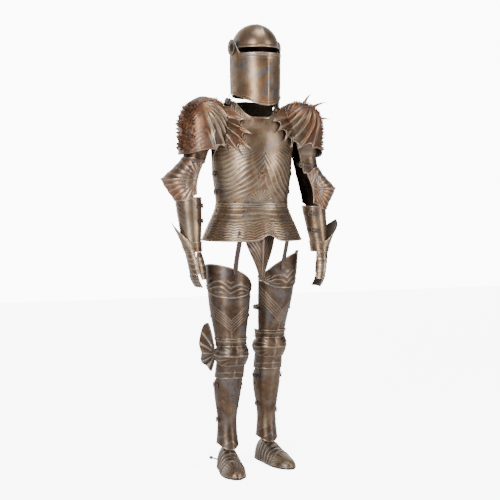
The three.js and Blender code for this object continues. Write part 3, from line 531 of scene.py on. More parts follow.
def skullPlace(us, vs):
    k, rise = skullSet, helmetSet["rise"]
    angle = 360 * us - 180
    a = np.radians(angle)
    face = 1 - smooth(*k["faceEdge"], np.abs(angle))
    bottom = mix(k["hem"] + k["dip"] * np.cos(a), k["faceTop"], face)
    wallPart = around(helmetLine, angle, mix(bottom, rise, np.minimum(vs * 2, 1)))
    lift = np.radians(90 * np.clip(vs * 2 - 1, 0, 1))
    s = section(helmetLine, np.full_like(us, rise))
    depth = np.where(np.abs(angle) < 90, s["front"], s["back"])
    dome = vec(s["wide"] * np.sin(a) * np.cos(lift), -depth * np.cos(a) * np.cos(lift),
               rise + (helmetSet["crown"] - rise) * np.sin(lift))
    return np.where((vs < 0.5)[..., None], wallPart, dome)


def skullRelief(us, vs):  # a low comb over the crown
    angle = np.abs(360 * us - 180)
    across = np.minimum(angle, 180 - angle) * np.cos(np.radians(90 * np.clip(vs * 2 - 1, 0, 1)))
    comb = skullSet["comb"] * bump(across / skullSet["combWide"])
    return comb * smooth(*skullSet["combFrom"], vs) * (1 - smooth(*skullSet["combTo"], vs))


def visorPlace(us, vs):
    k, s = visorSet, 2 * us - 1
    angle = k["reach"] * s
    top = mix(k["slitRim"], k["armTop"], smooth(*k["armEdge"], np.abs(angle)))
    z = mix(k["chin"] + k["sweep"] * smooth(0, 1, np.abs(s)), top, vs)
    keel = k["keel"] * np.exp(-np.abs(angle) / k["keelWide"]) * smooth(*k["keelFade"], z)
    return around(helmetLine, angle, z, k["out"] + keel)


def bead(t, rise, middle, wide):  # a raised line across a plate
    return rise * bump((t - middle) / wide)


def visorRelief(us, vs):
    k = visorSet
    angle = k["reach"] * (2 * us - 1)
    face = 1 - smooth(*k["browEdge"], np.abs(angle))
    # the low crease down the keel also takes bright wear and painted highlight
    crease = k["crease"] * bump(angle / 1.3) * (1 - smooth(*k["creaseFade"], vs))
    return (bead(vs, *k["brow"]) + bead(vs, *k["band"])) * face + bead(vs, *k["hem"]) + crease


plate("helmetSkull", "helmet_skull", skullPlace, helmetCore, skullSet["mesh"], "grey", "steel_brown",
      skullRelief, ring=True, pole=True, rim=(3.4, 2.2), turn=helmetTurn)
plate("helmetVisor", "helmet_visor", visorPlace, helmetCore, visorSet["mesh"], "grey", "steel_tan",
      visorRelief, "visor", rim=(3.4, 2.0), turn=helmetTurn)
disc = rondelSet["disc"]
rondelProfile = [(5, -9.4), (5, -0.2), (disc - 1, 0), (disc, 1.2), (disc - 1.5, 3.4), (disc - 4, 3.0),
                 (disc - 6, 2.4), (18, 4.2), (15, 7.6), (12, 8.2), (8, 9.4), (3, 10.2), (0.1, 10.3)]
for sideName, side in sideSign.items():
    base = helmetTurn @ Vector((side * rondelSet["across"], rondelSet["y"], rondelSet["z"]))
    outward = helmetTurn.to_3x3() @ Vector((side, 0, 0))
    turned("rondel_" + sideName, rondelProfile, base, outward, finishes["brown"], "harness",
           ["rondel_" + sideName])
print("helmet built")

# Breastplate: flutes run down from the upper chest and sweep out to the sides, over a small fan at the waist
breastSet = dict(
    mesh=(300, 190), waist=1096, chest=1456, shoulder=66, shoulderEdge=(0.2, 0.95), girth=158,
    apexZ=1392, flutes=58, curl=0.38, leftCurl=0.5, height=1.65, lowEdge=(1112, 1170), lowSlant=0.16,
    overlay=2.2, overlayAt=128, overlayWave=16, overlayWide=5,
    fan=3.0, fanX=-6, fanZ=1104, fanReach=62, fanRays=26,
    collar=2.2, collarZ=1440, collarWide=26, collarStep=46,
    seam=(0.7, 1103, 2.2))
armhole = dict(z=[1096, 1285, 1345, 1405, 1465, 1540], angle=[88, 88, 70, 56, 54, 60])
sideAngle = 88  # degrees, where the breastplate meets the backplate
torsoCore = coreOf(torso)


def armholeAngle(z):
    return np.minimum(sideAngle, readColumn(armhole["z"], armhole["angle"], z))


def breastPlace(us, vs):
    k, s = breastSet, 2 * us - 1
    z = mix(k["waist"], k["chest"] + k["shoulder"] * smooth(*k["shoulderEdge"], np.abs(s)), vs)
    return around(torso, s * armholeAngle(z), z)


def breastFlutes(x, r, phi):
    drift = 0.045 * np.sin(r / 29) + 0.05 * np.sin(3.1 * phi + r / 60)  # hand work: the flutes are not even
    curl = np.where(x > 0, breastSet["leftCurl"], 1.0) * breastSet["curl"] * r / 100
    f = (phi + drift - curl) * breastSet["flutes"] / math.pi / 2
    uneven = (0.78 + 0.3 * np.sin(5.3 * phi + r / 45)) * (1 - smooth(0.5, 1.9, phi) * 0.45)
    return (0.6 * ridge(f, 1.6) + 0.6 * lines(f, 0.13)) * smooth(34, 105, r) * uneven


def breastFan(x, z):  # the fan, and the share of the flutes that it takes away
    fx, fz = x - breastSet["fanX"], z - breastSet["fanZ"]
    r, a = np.hypot(fx, fz), np.arctan2(fx, fz)
    rays = ridge(a * breastSet["fanRays"] / math.pi / 2, 1.2) * (1 - smooth(1.15, 1.45, np.abs(a)))
    return rays * smooth(8, 20, r) * (1 - smooth(44, breastSet["fanReach"], r)), 1 - smooth(50, 74, r)


def breastRelief(us, vs):
    k = breastSet
    z = breastPlace(us, vs)[..., 2]
    x = np.radians((2 * us - 1) * armholeAngle(z)) * k["girth"]
    dz = k["apexZ"] - z
    r, phi = np.hypot(x, dz), np.arctan2(np.abs(x), dz)
    low = smooth(*k["lowEdge"], z + k["lowSlant"] * np.abs(x))
    fan, fanZone = breastFan(x, z)
    rim = k["overlayAt"] + k["overlayWave"] * np.cos(3 * phi)
    overlay = k["overlay"] * bump((r - rim) / k["overlayWide"]) * smooth(1.2, 1.9, phi)
    collar = 0.5 * bump((z - k["collarZ"]) / k["collarWide"]) * ridge((x + 0.3 * dz) / k["collarStep"], 1.8)
    collar = k["collar"] * collar * smooth(1.4, 2.2, phi)
    flutes = k["height"] * breastFlutes(x, r, phi) * low * (1 - fanZone)
    return flutes + k["fan"] * fan + overlay + collar + bead(z, *k["seam"])


backSet = dict(mesh=(200, 120), top=1528, slope=10, reach=91.8, height=2.4, flutes=7, narrow=(1.35, 0.75),
               spine=2.4, spineWide=0.016, reliefTop=1518, seam=(0.8, 1103, 2.5))


def backPlace(us, vs):
    s = 2 * us - 1
    z = mix(breastSet["waist"], backSet["top"] - backSet["slope"] * np.abs(s), vs)
    return around(torso, 180 + s * (backSet["reach"] - (sideAngle - armholeAngle(z))), z)


def backRelief(us, vs):
    k, s = backSet, 2 * us - 1
    z = mix(breastSet["waist"], k["reliefTop"], vs)
    f = s * (k["narrow"][0] - k["narrow"][1] * vs) * k["flutes"] + 0.5 * np.sin(vs * 3)
    flutes = k["height"] * ridge(f, 1.5) * smooth(0.05, 0.3, vs) * (1 - smooth(0.72, 0.9, vs))
    return flutes + k["spine"] * bump(s / k["spineWide"]) + bead(z, *k["seam"])


plate("breastplate", "breastplate", breastPlace, torsoCore, breastSet["mesh"], "tan", "steel_tan",
      breastRelief, rim=(4.2, 3.0))
plate("backplate", "backplate", backPlace, torsoCore, backSet["mesh"], "tan", "steel_tan",
      backRelief, rim=(3.6, 2.0))

# Fauld: three plain lames above a hem of wavy bands
fauldSet = dict(rows=110, hem=948, top=1095.6, arch=26, archAngle=4, archWide=9, waves=14, waveHeight=0.035,
                bands=7, bandRise=1.3, bandWide=0.17, bandFrom=(0.055, 0.09), bandTo=(0.50, 0.56),
                lameAt=(0.62, 0.76, 0.9), lameRise=0.9)
fauldTable = [  # name, from and to in degrees, columns, and how much of the arch it has
    ("front", -88, 88, 300, 1.0),
    ("back", 88.2, 271.8, 220, 0.0)]


def fauldPlace(low, high, arched):
    def place(us, vs):
        angle = mix(low, high, us)
        arch = fauldSet["arch"] * bump((angle - fauldSet["archAngle"]) / fauldSet["archWide"]) * arched
        return around(torso, angle, mix(fauldSet["hem"] + arch, fauldSet["top"], vs))
    return place


def fauldRelief(low, high):
    def relief(us, vs):
        k, angle = fauldSet, mix(low, high, us)
        wave = np.abs(np.sin(np.radians(angle * k["waves"]))) * k["waveHeight"]
        level = (vs - 0.06 - wave) / 0.5 * k["bands"]
        shown = smooth(*k["bandFrom"], vs) * (1 - smooth(*k["bandTo"], vs))
        steps = sum(smooth(0.006, 0.0, vs - at) * smooth(-0.05, 0, vs - at) for at in k["lameAt"])
        return k["bandRise"] * lines(level, k["bandWide"]) * shown + k["lameRise"] * steps
    return relief


for name, low, high, columns, arched in fauldTable:
    plate("fauld_" + name, "fauld_" + name, fauldPlace(low, high, arched), torsoCore,
          (columns, fauldSet["rows"]), "tan", "steel_tan", fauldRelief(low, high), rim=(4.0, 2.4))

codSet = dict(mesh=(70, 110), x=-2, foot=12, top=66, keel=(-134, -148), lean=9.8, deep=46, low=784, high=1040,
              flutes=5, fluteRise=1.2, ridgeRise=1.6)


def codPlace(us, vs):
    k, s = codSet, 2 * us - 1
    half = mix(k["foot"], k["top"], smooth(0, 0.75, vs))
    keel = mix(*k["keel"], smooth(0, 0.5, vs)) + k["lean"] * smooth(0.75, 1, vs)
    return vec(k["x"] + half * s, keel + k["deep"] * np.abs(s) ** 1.4 * (half / k["top"]),
               mix(k["low"], k["high"], vs))


def codRelief(us, vs):
    s = 2 * us - 1
    slanted = ridge((np.abs(s) * 0.9 - vs * 1.6) * codSet["flutes"], 1.6) * smooth(0.08, 0.25, np.abs(s))
    return codSet["fluteRise"] * slanted + codSet["ridgeRise"] * bump(s / 0.07)


plate("codpiece", "codpiece", codPlace, lambda p: vec(codSet["x"], 0, p[..., 2]), codSet["mesh"], "brown",
      "steel_rust", codRelief, rim=(2.4, 1.6))

# Boss on the breast: a plain flower of eight petals
flowerSet = dict(mesh=(96, 24), x=-12, y=-154.6, z=1214, reach=17, petals=8, petalShare=0.18, deep=6,
                 wall=0.8, groove=0.35, grooveAt=0.36, grooveWide=0.08)


def flowerPlace(us, vs):
    k, a, out = flowerSet, 2 * np.pi * us, 1 - vs
    r = k["reach"] * (1 - k["petalShare"] + k["petalShare"] * np.cos(k["petals"] * a)) * out
    dome = k["deep"] * (1 - out ** 3) * (1 - k["groove"] * bump((out - k["grooveAt"]) / k["grooveWide"]))
    return vec(k["x"] + r * np.cos(a), k["y"] - dome, k["z"] + r * np.sin(a))


plate("breastRosette", "breast_rosette", flowerPlace, (flowerSet["x"], 0, flowerSet["z"]), flowerSet["mesh"],
      "rust", "steel_rust", wall=flowerSet["wall"], ring=True, pole=True, rim=None)
print("cuirass built")

# Pauldrons: wings of plate between cusped ribs, over a scaly shoulder
wingSet = {  # turn and tips in degrees about the hub, reach in degrees from it
    "right": dict(dome=(-205, 6, 1424), half=(106, 112, 116), middle=(-150, 0, 1398), hub=(-214, -40, 1470),
                  gap=6.7, turn=[-180, -132, -93, -62, -42, -27, -13, 3, 30, 60, 105, 141, 180],
                  reach=[128, 102, 80, 75, 80, 97, 106, 108, 90, 64, 52, 86, 128],
                  tips=[-36, -22, -8, 6, 22, 40], scaly=(-62, -40), bend=30,
                  paleHighlight=((-176, -112, 1402), (58, 80, 70))),
    "left": dict(dome=(207, 8, 1414), half=(106, 112, 112), middle=(152, 0, 1398), hub=(224, -24, 1490),
                 gap=10.1, turn=[-180, -133, -91, -66, -48, -29, -10, 9, 26, 38, 62, 101, 142, 180],
                 reach=[122, 100, 84, 77, 82, 102, 108, 105, 101, 95, 62, 45, 80, 122],
                 tips=[-46, -29, -10, 9, 26, 40], scaly=(-84, -62), bend=-8,
                 paleHighlight=((160, -120, 1400), (44, 60, 60)))}
pauldronSet = dict(mesh=(300, 84), wingShare=210, torsoFrom=940, torsoTo=1545, blend=9.0, farthest=320.0,
                   halvings=20, scallop=11, horn=1.8, hornWide=2.4, lift=5.0, rib=5.6, hollow=3.8,
                   vein=0.3, scale=2.6,
                   scaleFrom=-170, fold=2.2, flow=1.6, duller=0.4, seed=3)


def wingSurface(sideName):  # a point for each turn and reach, on the body or on the shoulder's dome
    w, k, side = wingSet[sideName], pauldronSet, sideSign[sideName]
    middle, hub = Vector(w["middle"]), Vector(w["hub"])
    axis = (hub - middle).normalized()
    front = (Vector((0, -1, 0)) + axis * axis.y).normalized()
    inward = Vector((-side, 0, 0))
    inward = inward - axis * inward.dot(axis)
    inward = (inward - front * inward.dot(front)).normalized()
    axis, front, inward, middle = (np.array(v) for v in (axis, front, inward, middle))

    def insideTorso(p):
        s = section(torso, np.clip(p[..., 2], k["torsoFrom"], k["torsoTo"]))
        depth = np.where(p[..., 1] < 0, s["front"], s["back"]) + w["gap"]
        flat = np.hypot(p[..., 0] / (s["wide"] + w["gap"]), p[..., 1] / depth) < 1
        return flat & (p[..., 2] <= k["torsoTo"]) & (p[..., 2] >= k["torsoFrom"])

    def insideDome(p):
        q = (p - np.array(w["dome"])) / np.array(w["half"])
        return q[..., 0] ** 2 + q[..., 1] ** 2 + np.maximum(0, q[..., 2]) ** 2 < 1

    def exitOf(inside, direction):
        near, far = np.zeros(direction.shape[:-1]), np.full(direction.shape[:-1], k["farthest"])
        for _ in range(k["halvings"]):
            half = (near + far) / 2
            hit = inside(middle + direction * half[..., None])
            near, far = np.where(hit, half, near), np.where(hit, far, half)
        return near

    def surface(turn, reach):
        t, r = np.radians(turn)[..., None], np.radians(reach)[..., None]
        d = axis * np.cos(r) + front * np.sin(r) * np.cos(t) + inward * np.sin(r) * np.sin(t)
        a, b = exitOf(insideTorso, d), exitOf(insideDome, d)
        soft = np.clip(1 - np.abs(a - b) / k["blend"], 0, 1) ** 2  # a soft shoulder between the two forms
        return middle + d * (np.maximum(a, b) + 0.15 * k["blend"] * soft)[..., None]
    return surface


def wrapTurn(t):
    return (t + 180) % 360 - 180


def wingEdge(w, turn):  # how far the edge reaches, with a cusp at each rib and a scallop between
    turn = wrapTurn(turn)
    reach = readColumn(w["turn"], w["reach"], turn)
    tips = np.array(w["tips"], float)
    i = np.clip(np.searchsorted(tips, turn) - 1, 0, len(tips) - 2)
    across = (turn - tips[i]) / (tips[i + 1] - tips[i])
    onWing = (turn > tips[0]) & (turn < tips[-1])
    cut = pauldronSet["scallop"] * np.sin(np.pi * np.clip(across, 0, 1)) ** 0.62
    horn = sum(pauldronSet["horn"] * bump((turn - t) / pauldronSet["hornWide"]) for t in tips)
    return reach - np.where(onWing, cut, 0) + horn, across, onWing


def columnTurns(w):  # columns crowd onto the wing, where the cusps are
    first, last, share = w["tips"][0], w["tips"][-1], pauldronSet["wingShare"]
    rest = pauldronSet["mesh"][0] - share
    knots = [*np.linspace(first, last, share + 1)[:-1], *np.linspace(last, first + 360, rest + 1)]
    return lambda us: np.interp(us, np.arange(len(knots)) / (len(knots) - 1), knots)


def wingRelief(w, turn, bent, vs):
    k, a, out = pauldronSet, np.radians(turn), 1 - vs
    ribs = sum(bump((bent - t) / (2.4 + 5 * vs ** 2)) for t in w["tips"]) * smooth(0.05, 0.3, out)
    _, across, onWing = wingEdge(w, bent)
    hollow = np.where(onWing, np.sin(np.pi * np.clip(across, 0, 1)) ** 0.8, 0) * smooth(0.12, 0.5, out)
    veins = np.where(onWing, lines(across * 4 + 0.5, 0.16), 0) * smooth(0.4, 0.85, out)
    fold = ridge(out * 4.5 + a * 0.7, 1.3) * smooth(50, 76, turn) * (1 - smooth(150, 170, turn))
    flow = ridge(out * 7 - a * 1.1, 1.5) * smooth(-100, -118, turn)
    return k["rib"] * ribs - k["hollow"] * hollow + k["vein"] * veins + k["fold"] * fold + k["flow"] * flow


def scaleRelief(w, turn, vs, grit):
    low, high = w["scaly"]
    k, a, out = pauldronSet, np.radians(turn), 1 - vs
    cells = np.abs(np.sin(a * 25 + 2 * np.sin(out * 9)) * np.sin(out * 34 + a * 12)) ** 0.6
    cells = cells * (0.35 + 0.65 * softened(grit.uniform(0, 1, turn.shape), True, 1)) * 1.5
    return k["scale"] * smooth(high, low, turn) * (turn > k["scaleFrom"]) * cells * smooth(0.02, 0.2, out)


def pauldronFinish(obj, sideName):  # scales on the outer side, and a paler field on the wing as a painted highlight
    w = wingSet[sideName]
    centres = np.zeros(len(obj.data.polygons) * 3)
    obj.data.polygons.foreach_get("center", centres)
    centres = centres.reshape(-1, 3) / millimetre + [0, 0, neckHeight]
    outside = sideSign[sideName] * (centres[:, 0] - w["dome"][0]) > 18 + 10 * np.sin(centres[:, 2] * 0.08)
    # painted highlight: a paler field of tan steel on the middle of the wing
    middle, half = w["paleHighlight"]
    paleHighlight = np.linalg.norm((centres - middle) / half, axis=1) + 0.16 * np.sin(centres[:, 2] / 9) < 1
    picked = np.where(outside, 1, np.where(paleHighlight, 2, 0))
    obj.data.polygons.foreach_set("material_index", picked.astype(np.int32))


def buildPauldron(sideName, grit):
    w, k, surface = wingSet[sideName], pauldronSet, wingSurface(sideName)
    turnAt = columnTurns(w)

    def place(us, vs):
        turn = turnAt(us)
        reach, _, onWing = wingEdge(w, turn)
        spot = surface(wrapTurn(turn), reach * (1 - vs) ** 0.9)
        spot[..., 1] -= k["lift"] * onWing * smooth(0.45, 1, 1 - vs)  # the edge stands clear of the breast
        return spot

    def relief(us, vs):  # ribs leave the hub towards the neck and bend down to their tips
        turn = wrapTurn(turnAt(us))
        bent = turn - w["bend"] * vs ** 1.2
        return wingRelief(w, turn, bent, vs) + scaleRelief(w, turn, vs, grit)

    grid, normals, raised, worn = plateArrays(place, w["middle"], *k["mesh"], relief, True, True, (2.6, 1.7))
    turns = wrapTurn(turnAt(np.arange(len(grid)) / len(grid)))
    # the scaly side takes less bright wear, painted highlight and hollow darkening
    worn = worn * np.where(turns < w["scaly"][1], k["duller"], 1.0)[:, None]
    mats = [finishes[key] for key in ("rust", "scale", "tan")]
    obj = sheetMesh("pauldron_" + sideName, (grid, normals, raised, worn), mats, "harness",
                    ["pauldron_" + sideName], ring=True, pole=True)
    pauldronFinish(obj, sideName)
    return surface


grit = np.random.default_rng(pauldronSet["seed"])
surfaces = {sideName: buildPauldron(sideName, grit) for sideName in ("right", "left")}

hornSet = dict(sides=12, steps=14, flat=0.72, blunt=0.25, worn=0.35)
hornTable = [  # root, the point it leans to, tip and radius
    ((232, -10, 1514), (240, -14, 1546), (266, -14, 1562), 8),
    ((262, -6, 1496), (290, -10, 1522), (340, -10, 1528), 9),
    ((294, 0, 1452), (322, -4, 1466), (356, -6, 1454), 8)]


def hornMesh(root, lean, tip, radius):
    sides, steps = hornSet["sides"], hornSet["steps"]
    root, lean, tip = (np.array(p, float) for p in (root, lean, tip))
    t = np.linspace(0, 1, steps)[:, None]
    line = root * (1 - t) ** 2 + 2 * lean * t * (1 - t) + tip * t ** 2
    along = unit(np.gradient(line, axis=0))
    across = unit(np.cross(along, [0.1, 1, 0.1]))
    over = np.cross(along, across)
    points = []
    for k in range(steps):
        r = radius * (1 - (k / (steps - 1)) ** 1.2) + hornSet["blunt"]
        for a in np.arange(sides) / sides * 2 * np.pi:
            points.append(line[k] + across[k] * r * np.cos(a) + over[k] * r * hornSet["flat"] * np.sin(a))
    return points, bandFaces(steps, sides) + endFaces(steps, sides)


# the horns take an even share of bright wear and painted highlight
points, faces = joinMeshes([hornMesh(*row) for row in hornTable])
newMesh("shoulderHorns", points, faces, finishes["scale"], "harness",
        worn=np.full(len(points), hornSet["worn"]))
print("pauldrons built")

# Arms: upper cannon of lames, a fluted elbow cop, a closed lower cannon and a pointed gauntlet
armSet = {  # heights in mm above the floor; tip is the cuff's pointed side in degrees
    "right": dict(elbow=1202, cannonTop=1392, cuffTop=1022, cuffLow=945, wrist=905,
                  flare=26, lift=22.3, tip=-105),
    "left": dict(elbow=1163, cannonTop=1392, cuffTop=1030, cuffLow=938, wrist=895,
                 flare=66, lift=26.1, tip=105)}
cannonSet = dict(mesh=(110, 80), above=62, reach=130, flareFrom=1300, lames=2.5, rise=2.6, shown=(0.35, 0.5))
elbowSet = dict(mesh=(180, 110), half=90, boss=44, crown=5, narrow=0.3, inner=96, span=122, peak=0.62,
                fanWide=250, fanHigh=180, rays=5.2, rise=2.2, backRise=1.4, middleRise=2.8)
vambraceSet = dict(mesh=(160, 90), below=74, tuck=12, flutes=12, rise=1.7, shown=(0.36, 0.44), seamRise=0.52)
cuffSet = dict(mesh=(150, 64), out=3.1, pointed=0.14, pointWide=9, round=52, lines=8, lineRise=1.5,
               foldRise=0.8)
handSet = dict(mesh=(90, 84), reach=84, long=92, tuck=12, out=-0.4, lames=5, rise=2.2, knuckleRise=1.2)
fingerSet = dict(mesh=(96, 56), reach=76, long=146, out=-0.4, bend=15, rise=2.4, lames=4, lameRise=1.2)
thumbSet = dict(mesh=(40, 56), long=112, turn=20, reach=34, out=(14, 4), lames=4, rise=1.6)


def buildArm(sideName, side):
    line, plan = armLine[sideName], armSet[sideName]
    core, outward, elbow, wrist = coreOf(line), side * 90, plan["elbow"], plan["wrist"]

    def armPlate(name, node, place, mesh, finish, slotName, relief, **more):
        plate(name + "_" + sideName, node + "_" + sideName, place, core, mesh, finish, slotName, relief,
              **more)

    def cannon(us, vs):
        z = mix(elbow + cannonSet["above"], plan["cannonTop"], vs)
        lift = plan["lift"] * smooth(cannonSet["flareFrom"], plan["cannonTop"], z)
        return around(line, outward + cannonSet["reach"] * (2 * us - 1), z, lift)

    def cannonLames(us, vs):
        waves = np.abs(np.sin(cannonSet["lames"] * np.pi * vs)) ** 0.7
        return cannonSet["rise"] * waves * smooth(*cannonSet["shown"], vs)

    def cop(us, vs):
        k, s = elbowSet, 2 * us - 1
        high = mix(-k["half"], k["half"], vs)
        z = elbow + high * (1 - k["narrow"] * smooth(0.55, 1, np.abs(s)))
        point = np.maximum(0, 1 - np.abs(s) / k["peak"]) * (1 - np.abs(2 * vs - 1))
        out = lapGap + k["boss"] * point + k["crown"] * bump((2 * vs - 1) / 0.5)
        return around(line, side * (k["inner"] - k["span"] * s), z, out)

    def fan(us, vs):  # shell flutes spread from the inner edge, over a ridge across the middle
        k = elbowSet
        dx, dz = (1 - us) * k["fanWide"] + 12, (vs - 0.5) * k["fanHigh"]
        shell = ridge(np.arctan2(dz, dx) * k["rays"], 1.4) * smooth(14, 40, np.hypot(dx, dz))
        back = ridge((vs - 0.5) * 7 + 0.5, 1.5) * smooth(0.35, 0.15, us)
        middle = k["middleRise"] * bump((vs - 0.5) / 0.02)
        return k["rise"] * shell * smooth(0.22, 0.4, us) + k["backRise"] * back + middle

    def lowerArm(us, vs):
        low, high = plan["cuffLow"] - vambraceSet["tuck"], elbow - vambraceSet["below"]
        return around(line, 360 * us, mix(low, high, vs))

    def slant(us, vs):  # slanted flutes on the outer side, and a seam a quarter turn from it
        turn = us - outward / 360
        away = np.abs(turn % 1 - 0.5)
        flutes = ridge((vs * 0.75 - away) * vambraceSet["flutes"], 1.4) * smooth(*vambraceSet["shown"], away)
        return vambraceSet["rise"] * flutes + bead((turn + 0.25) % 1, vambraceSet["seamRise"], 0.5, 0.006)

    def turnFromTip(us):
        return (360 * us - plan["tip"] + 540) % 360 - 180

    def cuff(us, vs):
        k, away = cuffSet, np.abs(turnFromTip(us))
        toTip = (1 - k["pointed"]) * bump(away / k["round"]) + k["pointed"] * np.exp(-away / k["pointWide"])
        z = mix(wrist, mix(plan["cuffLow"], plan["cuffTop"], toTip), vs)
        return around(line, 360 * us, z, k["out"] + plan["flare"] * toTip * vs ** 1.6)

    def cuffFlutes(us, vs):
        away = turnFromTip(us) / 180
        slanted = lines(vs * cuffSet["lines"] - 0.6 * away * side, 0.2) * smooth(0.3, 0.5, vs)
        folds = ridge(vs * 5.5, 1.4) * (1 - smooth(0.2, 0.35, vs))
        return (cuffSet["lineRise"] * slanted + cuffSet["foldRise"] * folds) * bump(away / 0.8)

    def hand(us, vs):
        z = mix(wrist - handSet["long"], wrist + handSet["tuck"], vs)
        return around(line, outward + handSet["reach"] * (2 * us - 1), z, handSet["out"])

    def handLames(us, vs):
        lames = (1 - vs * handSet["lames"] % 1) ** 1.5
        return handSet["rise"] * lames + handSet["knuckleRise"] * ridge(us * 4, 1.4) * smooth(0.25, 0.1, vs)

    def fingers(us, vs):
        z = mix(wrist - fingerSet["long"], wrist - handSet["long"] - 0.4, vs)
        spot = around(line, outward + fingerSet["reach"] * (2 * us - 1), z, fingerSet["out"])
        spot[..., 0] -= side * fingerSet["bend"] * (1 - vs) ** 2
        return spot

    def fingerScales(us, vs):
        folds = np.abs(np.sin(4 * np.pi * us)) ** 0.5
        return fingerSet["rise"] * folds + fingerSet["lameRise"] * (1 - vs * fingerSet["lames"] % 1)

    def thumb(us, vs):
        reach = thumbSet["reach"] * (2 * us - 1) * (0.55 + 0.45 * np.sin(np.pi * vs))
        z = mix(wrist - thumbSet["long"], wrist - 0.4, vs)
        return around(line, reach - side * thumbSet["turn"], z, mix(*thumbSet["out"], vs))

    def thumbLames(us, vs):
        return thumbSet["rise"] * (1 - vs * thumbSet["lames"] % 1) * smooth(0, 0.1, us) * smooth(1, 0.9, us)

    armPlate("rerebrace", "rerebrace", cannon, cannonSet["mesh"], "brown", "steel_brown", cannonLames)
    armPlate("couter", "couter", cop, elbowSet["mesh"], "rust", "steel_tan", fan, rim=(3.0, 1.8))
    armPlate("vambrace", "vambrace", lowerArm, vambraceSet["mesh"], "tan", "steel_tan", slant, ring=True)
    armPlate("gauntletCuff", "gauntlet_cuff", cuff, cuffSet["mesh"], "tan", "steel_tan", cuffFlutes,
             ring=True, rim=(2.6, 1.6))
    armPlate("gauntletHand", "gauntlet_hand", hand, handSet["mesh"], "tan", "steel_tan", handLames,
             rim=(2.0, 1.2))
    armPlate("gauntletFingers", "gauntlet_fingers", fingers, fingerSet["mesh"], "brown", "steel_brown",
             fingerScales, rim=(1.6, 0.8))
    armPlate("gauntletThumb", "gauntlet_thumb", thumb, thumbSet["mesh"], "tan", "steel_tan", thumbLames,
             rim=(1.8, 1.0))


for sideName, side in sideSign.items():
    buildArm(sideName, side)
print("arms built")

# Legs: thigh plates, a knee cop on two rivets, a closed greave and a shoe of lames
thighSet = {"right": dict(inner=738, outer=842, crown=54, low=716, backTo=100),
            "left": dict(inner=778, outer=898, crown=44, low=746, backTo=84)}
upperSet = dict(mesh=(150, 84), turn=14, hem=46, least=8, out=2.8, arcs=6, rise=1.3)
lowerSet = dict(mesh=(180, 110), above=58, tuck=26, hem=40, chevrons=17, rise=1.6, rays=7, rayRise=0.45,
                keelRise=0.64)
lameSet = dict(mesh=(90, 26), reach=96, low=26, high=72, seam=(0.8, 0.72, 0.06))
kneeSet = dict(mesh=(140, 60), reach=96, half=42, swell=10, narrow=0.35, out=7.9, tuck=2, rivet=6,
               rivetGap=17.6)
shinSet = dict(mesh=(120, 60), reach=100, low=96, side=11, front=26, sideEdge=(0.72, 0.84), folds=2.6,
               keel=0.8)
greaveSet = dict(mesh=(110, 110), hem=106, instep=21.4, crest=0.5, backSeam=1.0, ankleRise=0.6, ankleFolds=9)
greaveTable = [  # half, from and to in degrees, mm below the knee
    ("front", -89.5, 89.5, 60),
    ("back", 90.5, 269.5, 112)]
footSet = dict(z=[-62, -40, 0, 40, 90, 140, 185, 218], wide=[24, 36, 43, 44, 48, 49, 38, 12],
               high=[62, 84, 99, 88, 66, 52, 38, 22], sole=6, seam=0.4, columns=90,
               toeFrom=205, toeRound=11.2, heelFrom=42, heelRound=18.2)
shoeTable = [  # piece, from and to along the foot, step at its front end, rows, finish
    ("heel", -60, 3.2, 0, 44, "brown"),
    ("instep", 4.4, 74, 2.5, 60, "brown"),
    ("lame_a", 74.4, 98, 2.5, 22, "brown"),
    ("lame_b", 98.4, 122, 2.5, 22, "brown"),
    ("toe", 122.4, 216, 0, 60, "tan")]
soleSet = dict(low=-64, high=220, points=60, proud=2, across=50, along=220)


def footRead(key, along):
    return readColumn(footSet["z"], footSet[key], along)


def buildThigh(sideName, side, legPlate):
    line, thigh, kneeZ = legLine[sideName], thighSet[sideName], kneePoint[sideName][2]

    def upper(us, vs):
        k, s = upperSet, 2 * us - 1
        low = thigh["low"] + k["hem"] * s * s
        top = mix(thigh["inner"], thigh["outer"], (side * s + 1) / 2) + thigh["crown"] * (1 - s * s)
        z = mix(low, np.maximum(top, low + k["least"]), vs)
        return around(line, side * k["turn"] + thigh["backTo"] * s, z, k["out"])

    def festoons(us, vs):  # nested arcs with a cusp at the middle
        s = np.abs(2 * us - 1)
        arc = 0.2 * np.abs(np.sin(1.5 * np.pi * s)) - 0.12 * s
        shown = smooth(0.1, 0.2, vs) * (1 - smooth(0.5, 0.6, vs))
        return upperSet["rise"] * lines((vs - arc) * upperSet["arcs"], 0.13) * shown

    def lower(us, vs):
        k, s = lowerSet, 2 * us - 1
        z = mix(kneeZ + k["above"], thigh["low"] + k["tuck"] + k["hem"] * s * s, vs)
        return around(line, side * upperSet["turn"] + thigh["backTo"] * s, z)

    def chevrons(us, vs):
        k, s = lowerSet, 2 * us - 1
        level = vs - 0.42 * np.abs(s) ** 0.72
        fan = lines(level * k["chevrons"], 0.14) * smooth(0.13, 0.15, level) * (1 - smooth(0.42, 0.44, level))
        rays = ridge(s * k["rays"] / (0.35 + vs), 1.5) * (1 - smooth(0.1, 0.24, vs))
        keel = k["keelRise"] * bump(s / 0.02) * (1 - smooth(0.28, 0.4, vs))
        return (k["rise"] * fan + k["rayRise"] * rays) * smooth(0.03, 0.1, vs) + keel

    def lame(us, vs):
        z = mix(kneeZ + lameSet["low"], kneeZ + lameSet["high"], vs)
        return around(line, lameSet["reach"] * (2 * us - 1), z, lapGap)

    legPlate("cuisseTop", "cuisse_top", upper, upperSet["mesh"], festoons, rim=(3.4, 2.2))
    legPlate("cuisse", "cuisse", lower, lowerSet["mesh"], chevrons)
    legPlate("kneeLame", "knee_lame", lame, lameSet["mesh"], lambda us, vs: bead(vs, *lameSet["seam"]),
             rim=(1.8, 0.8))


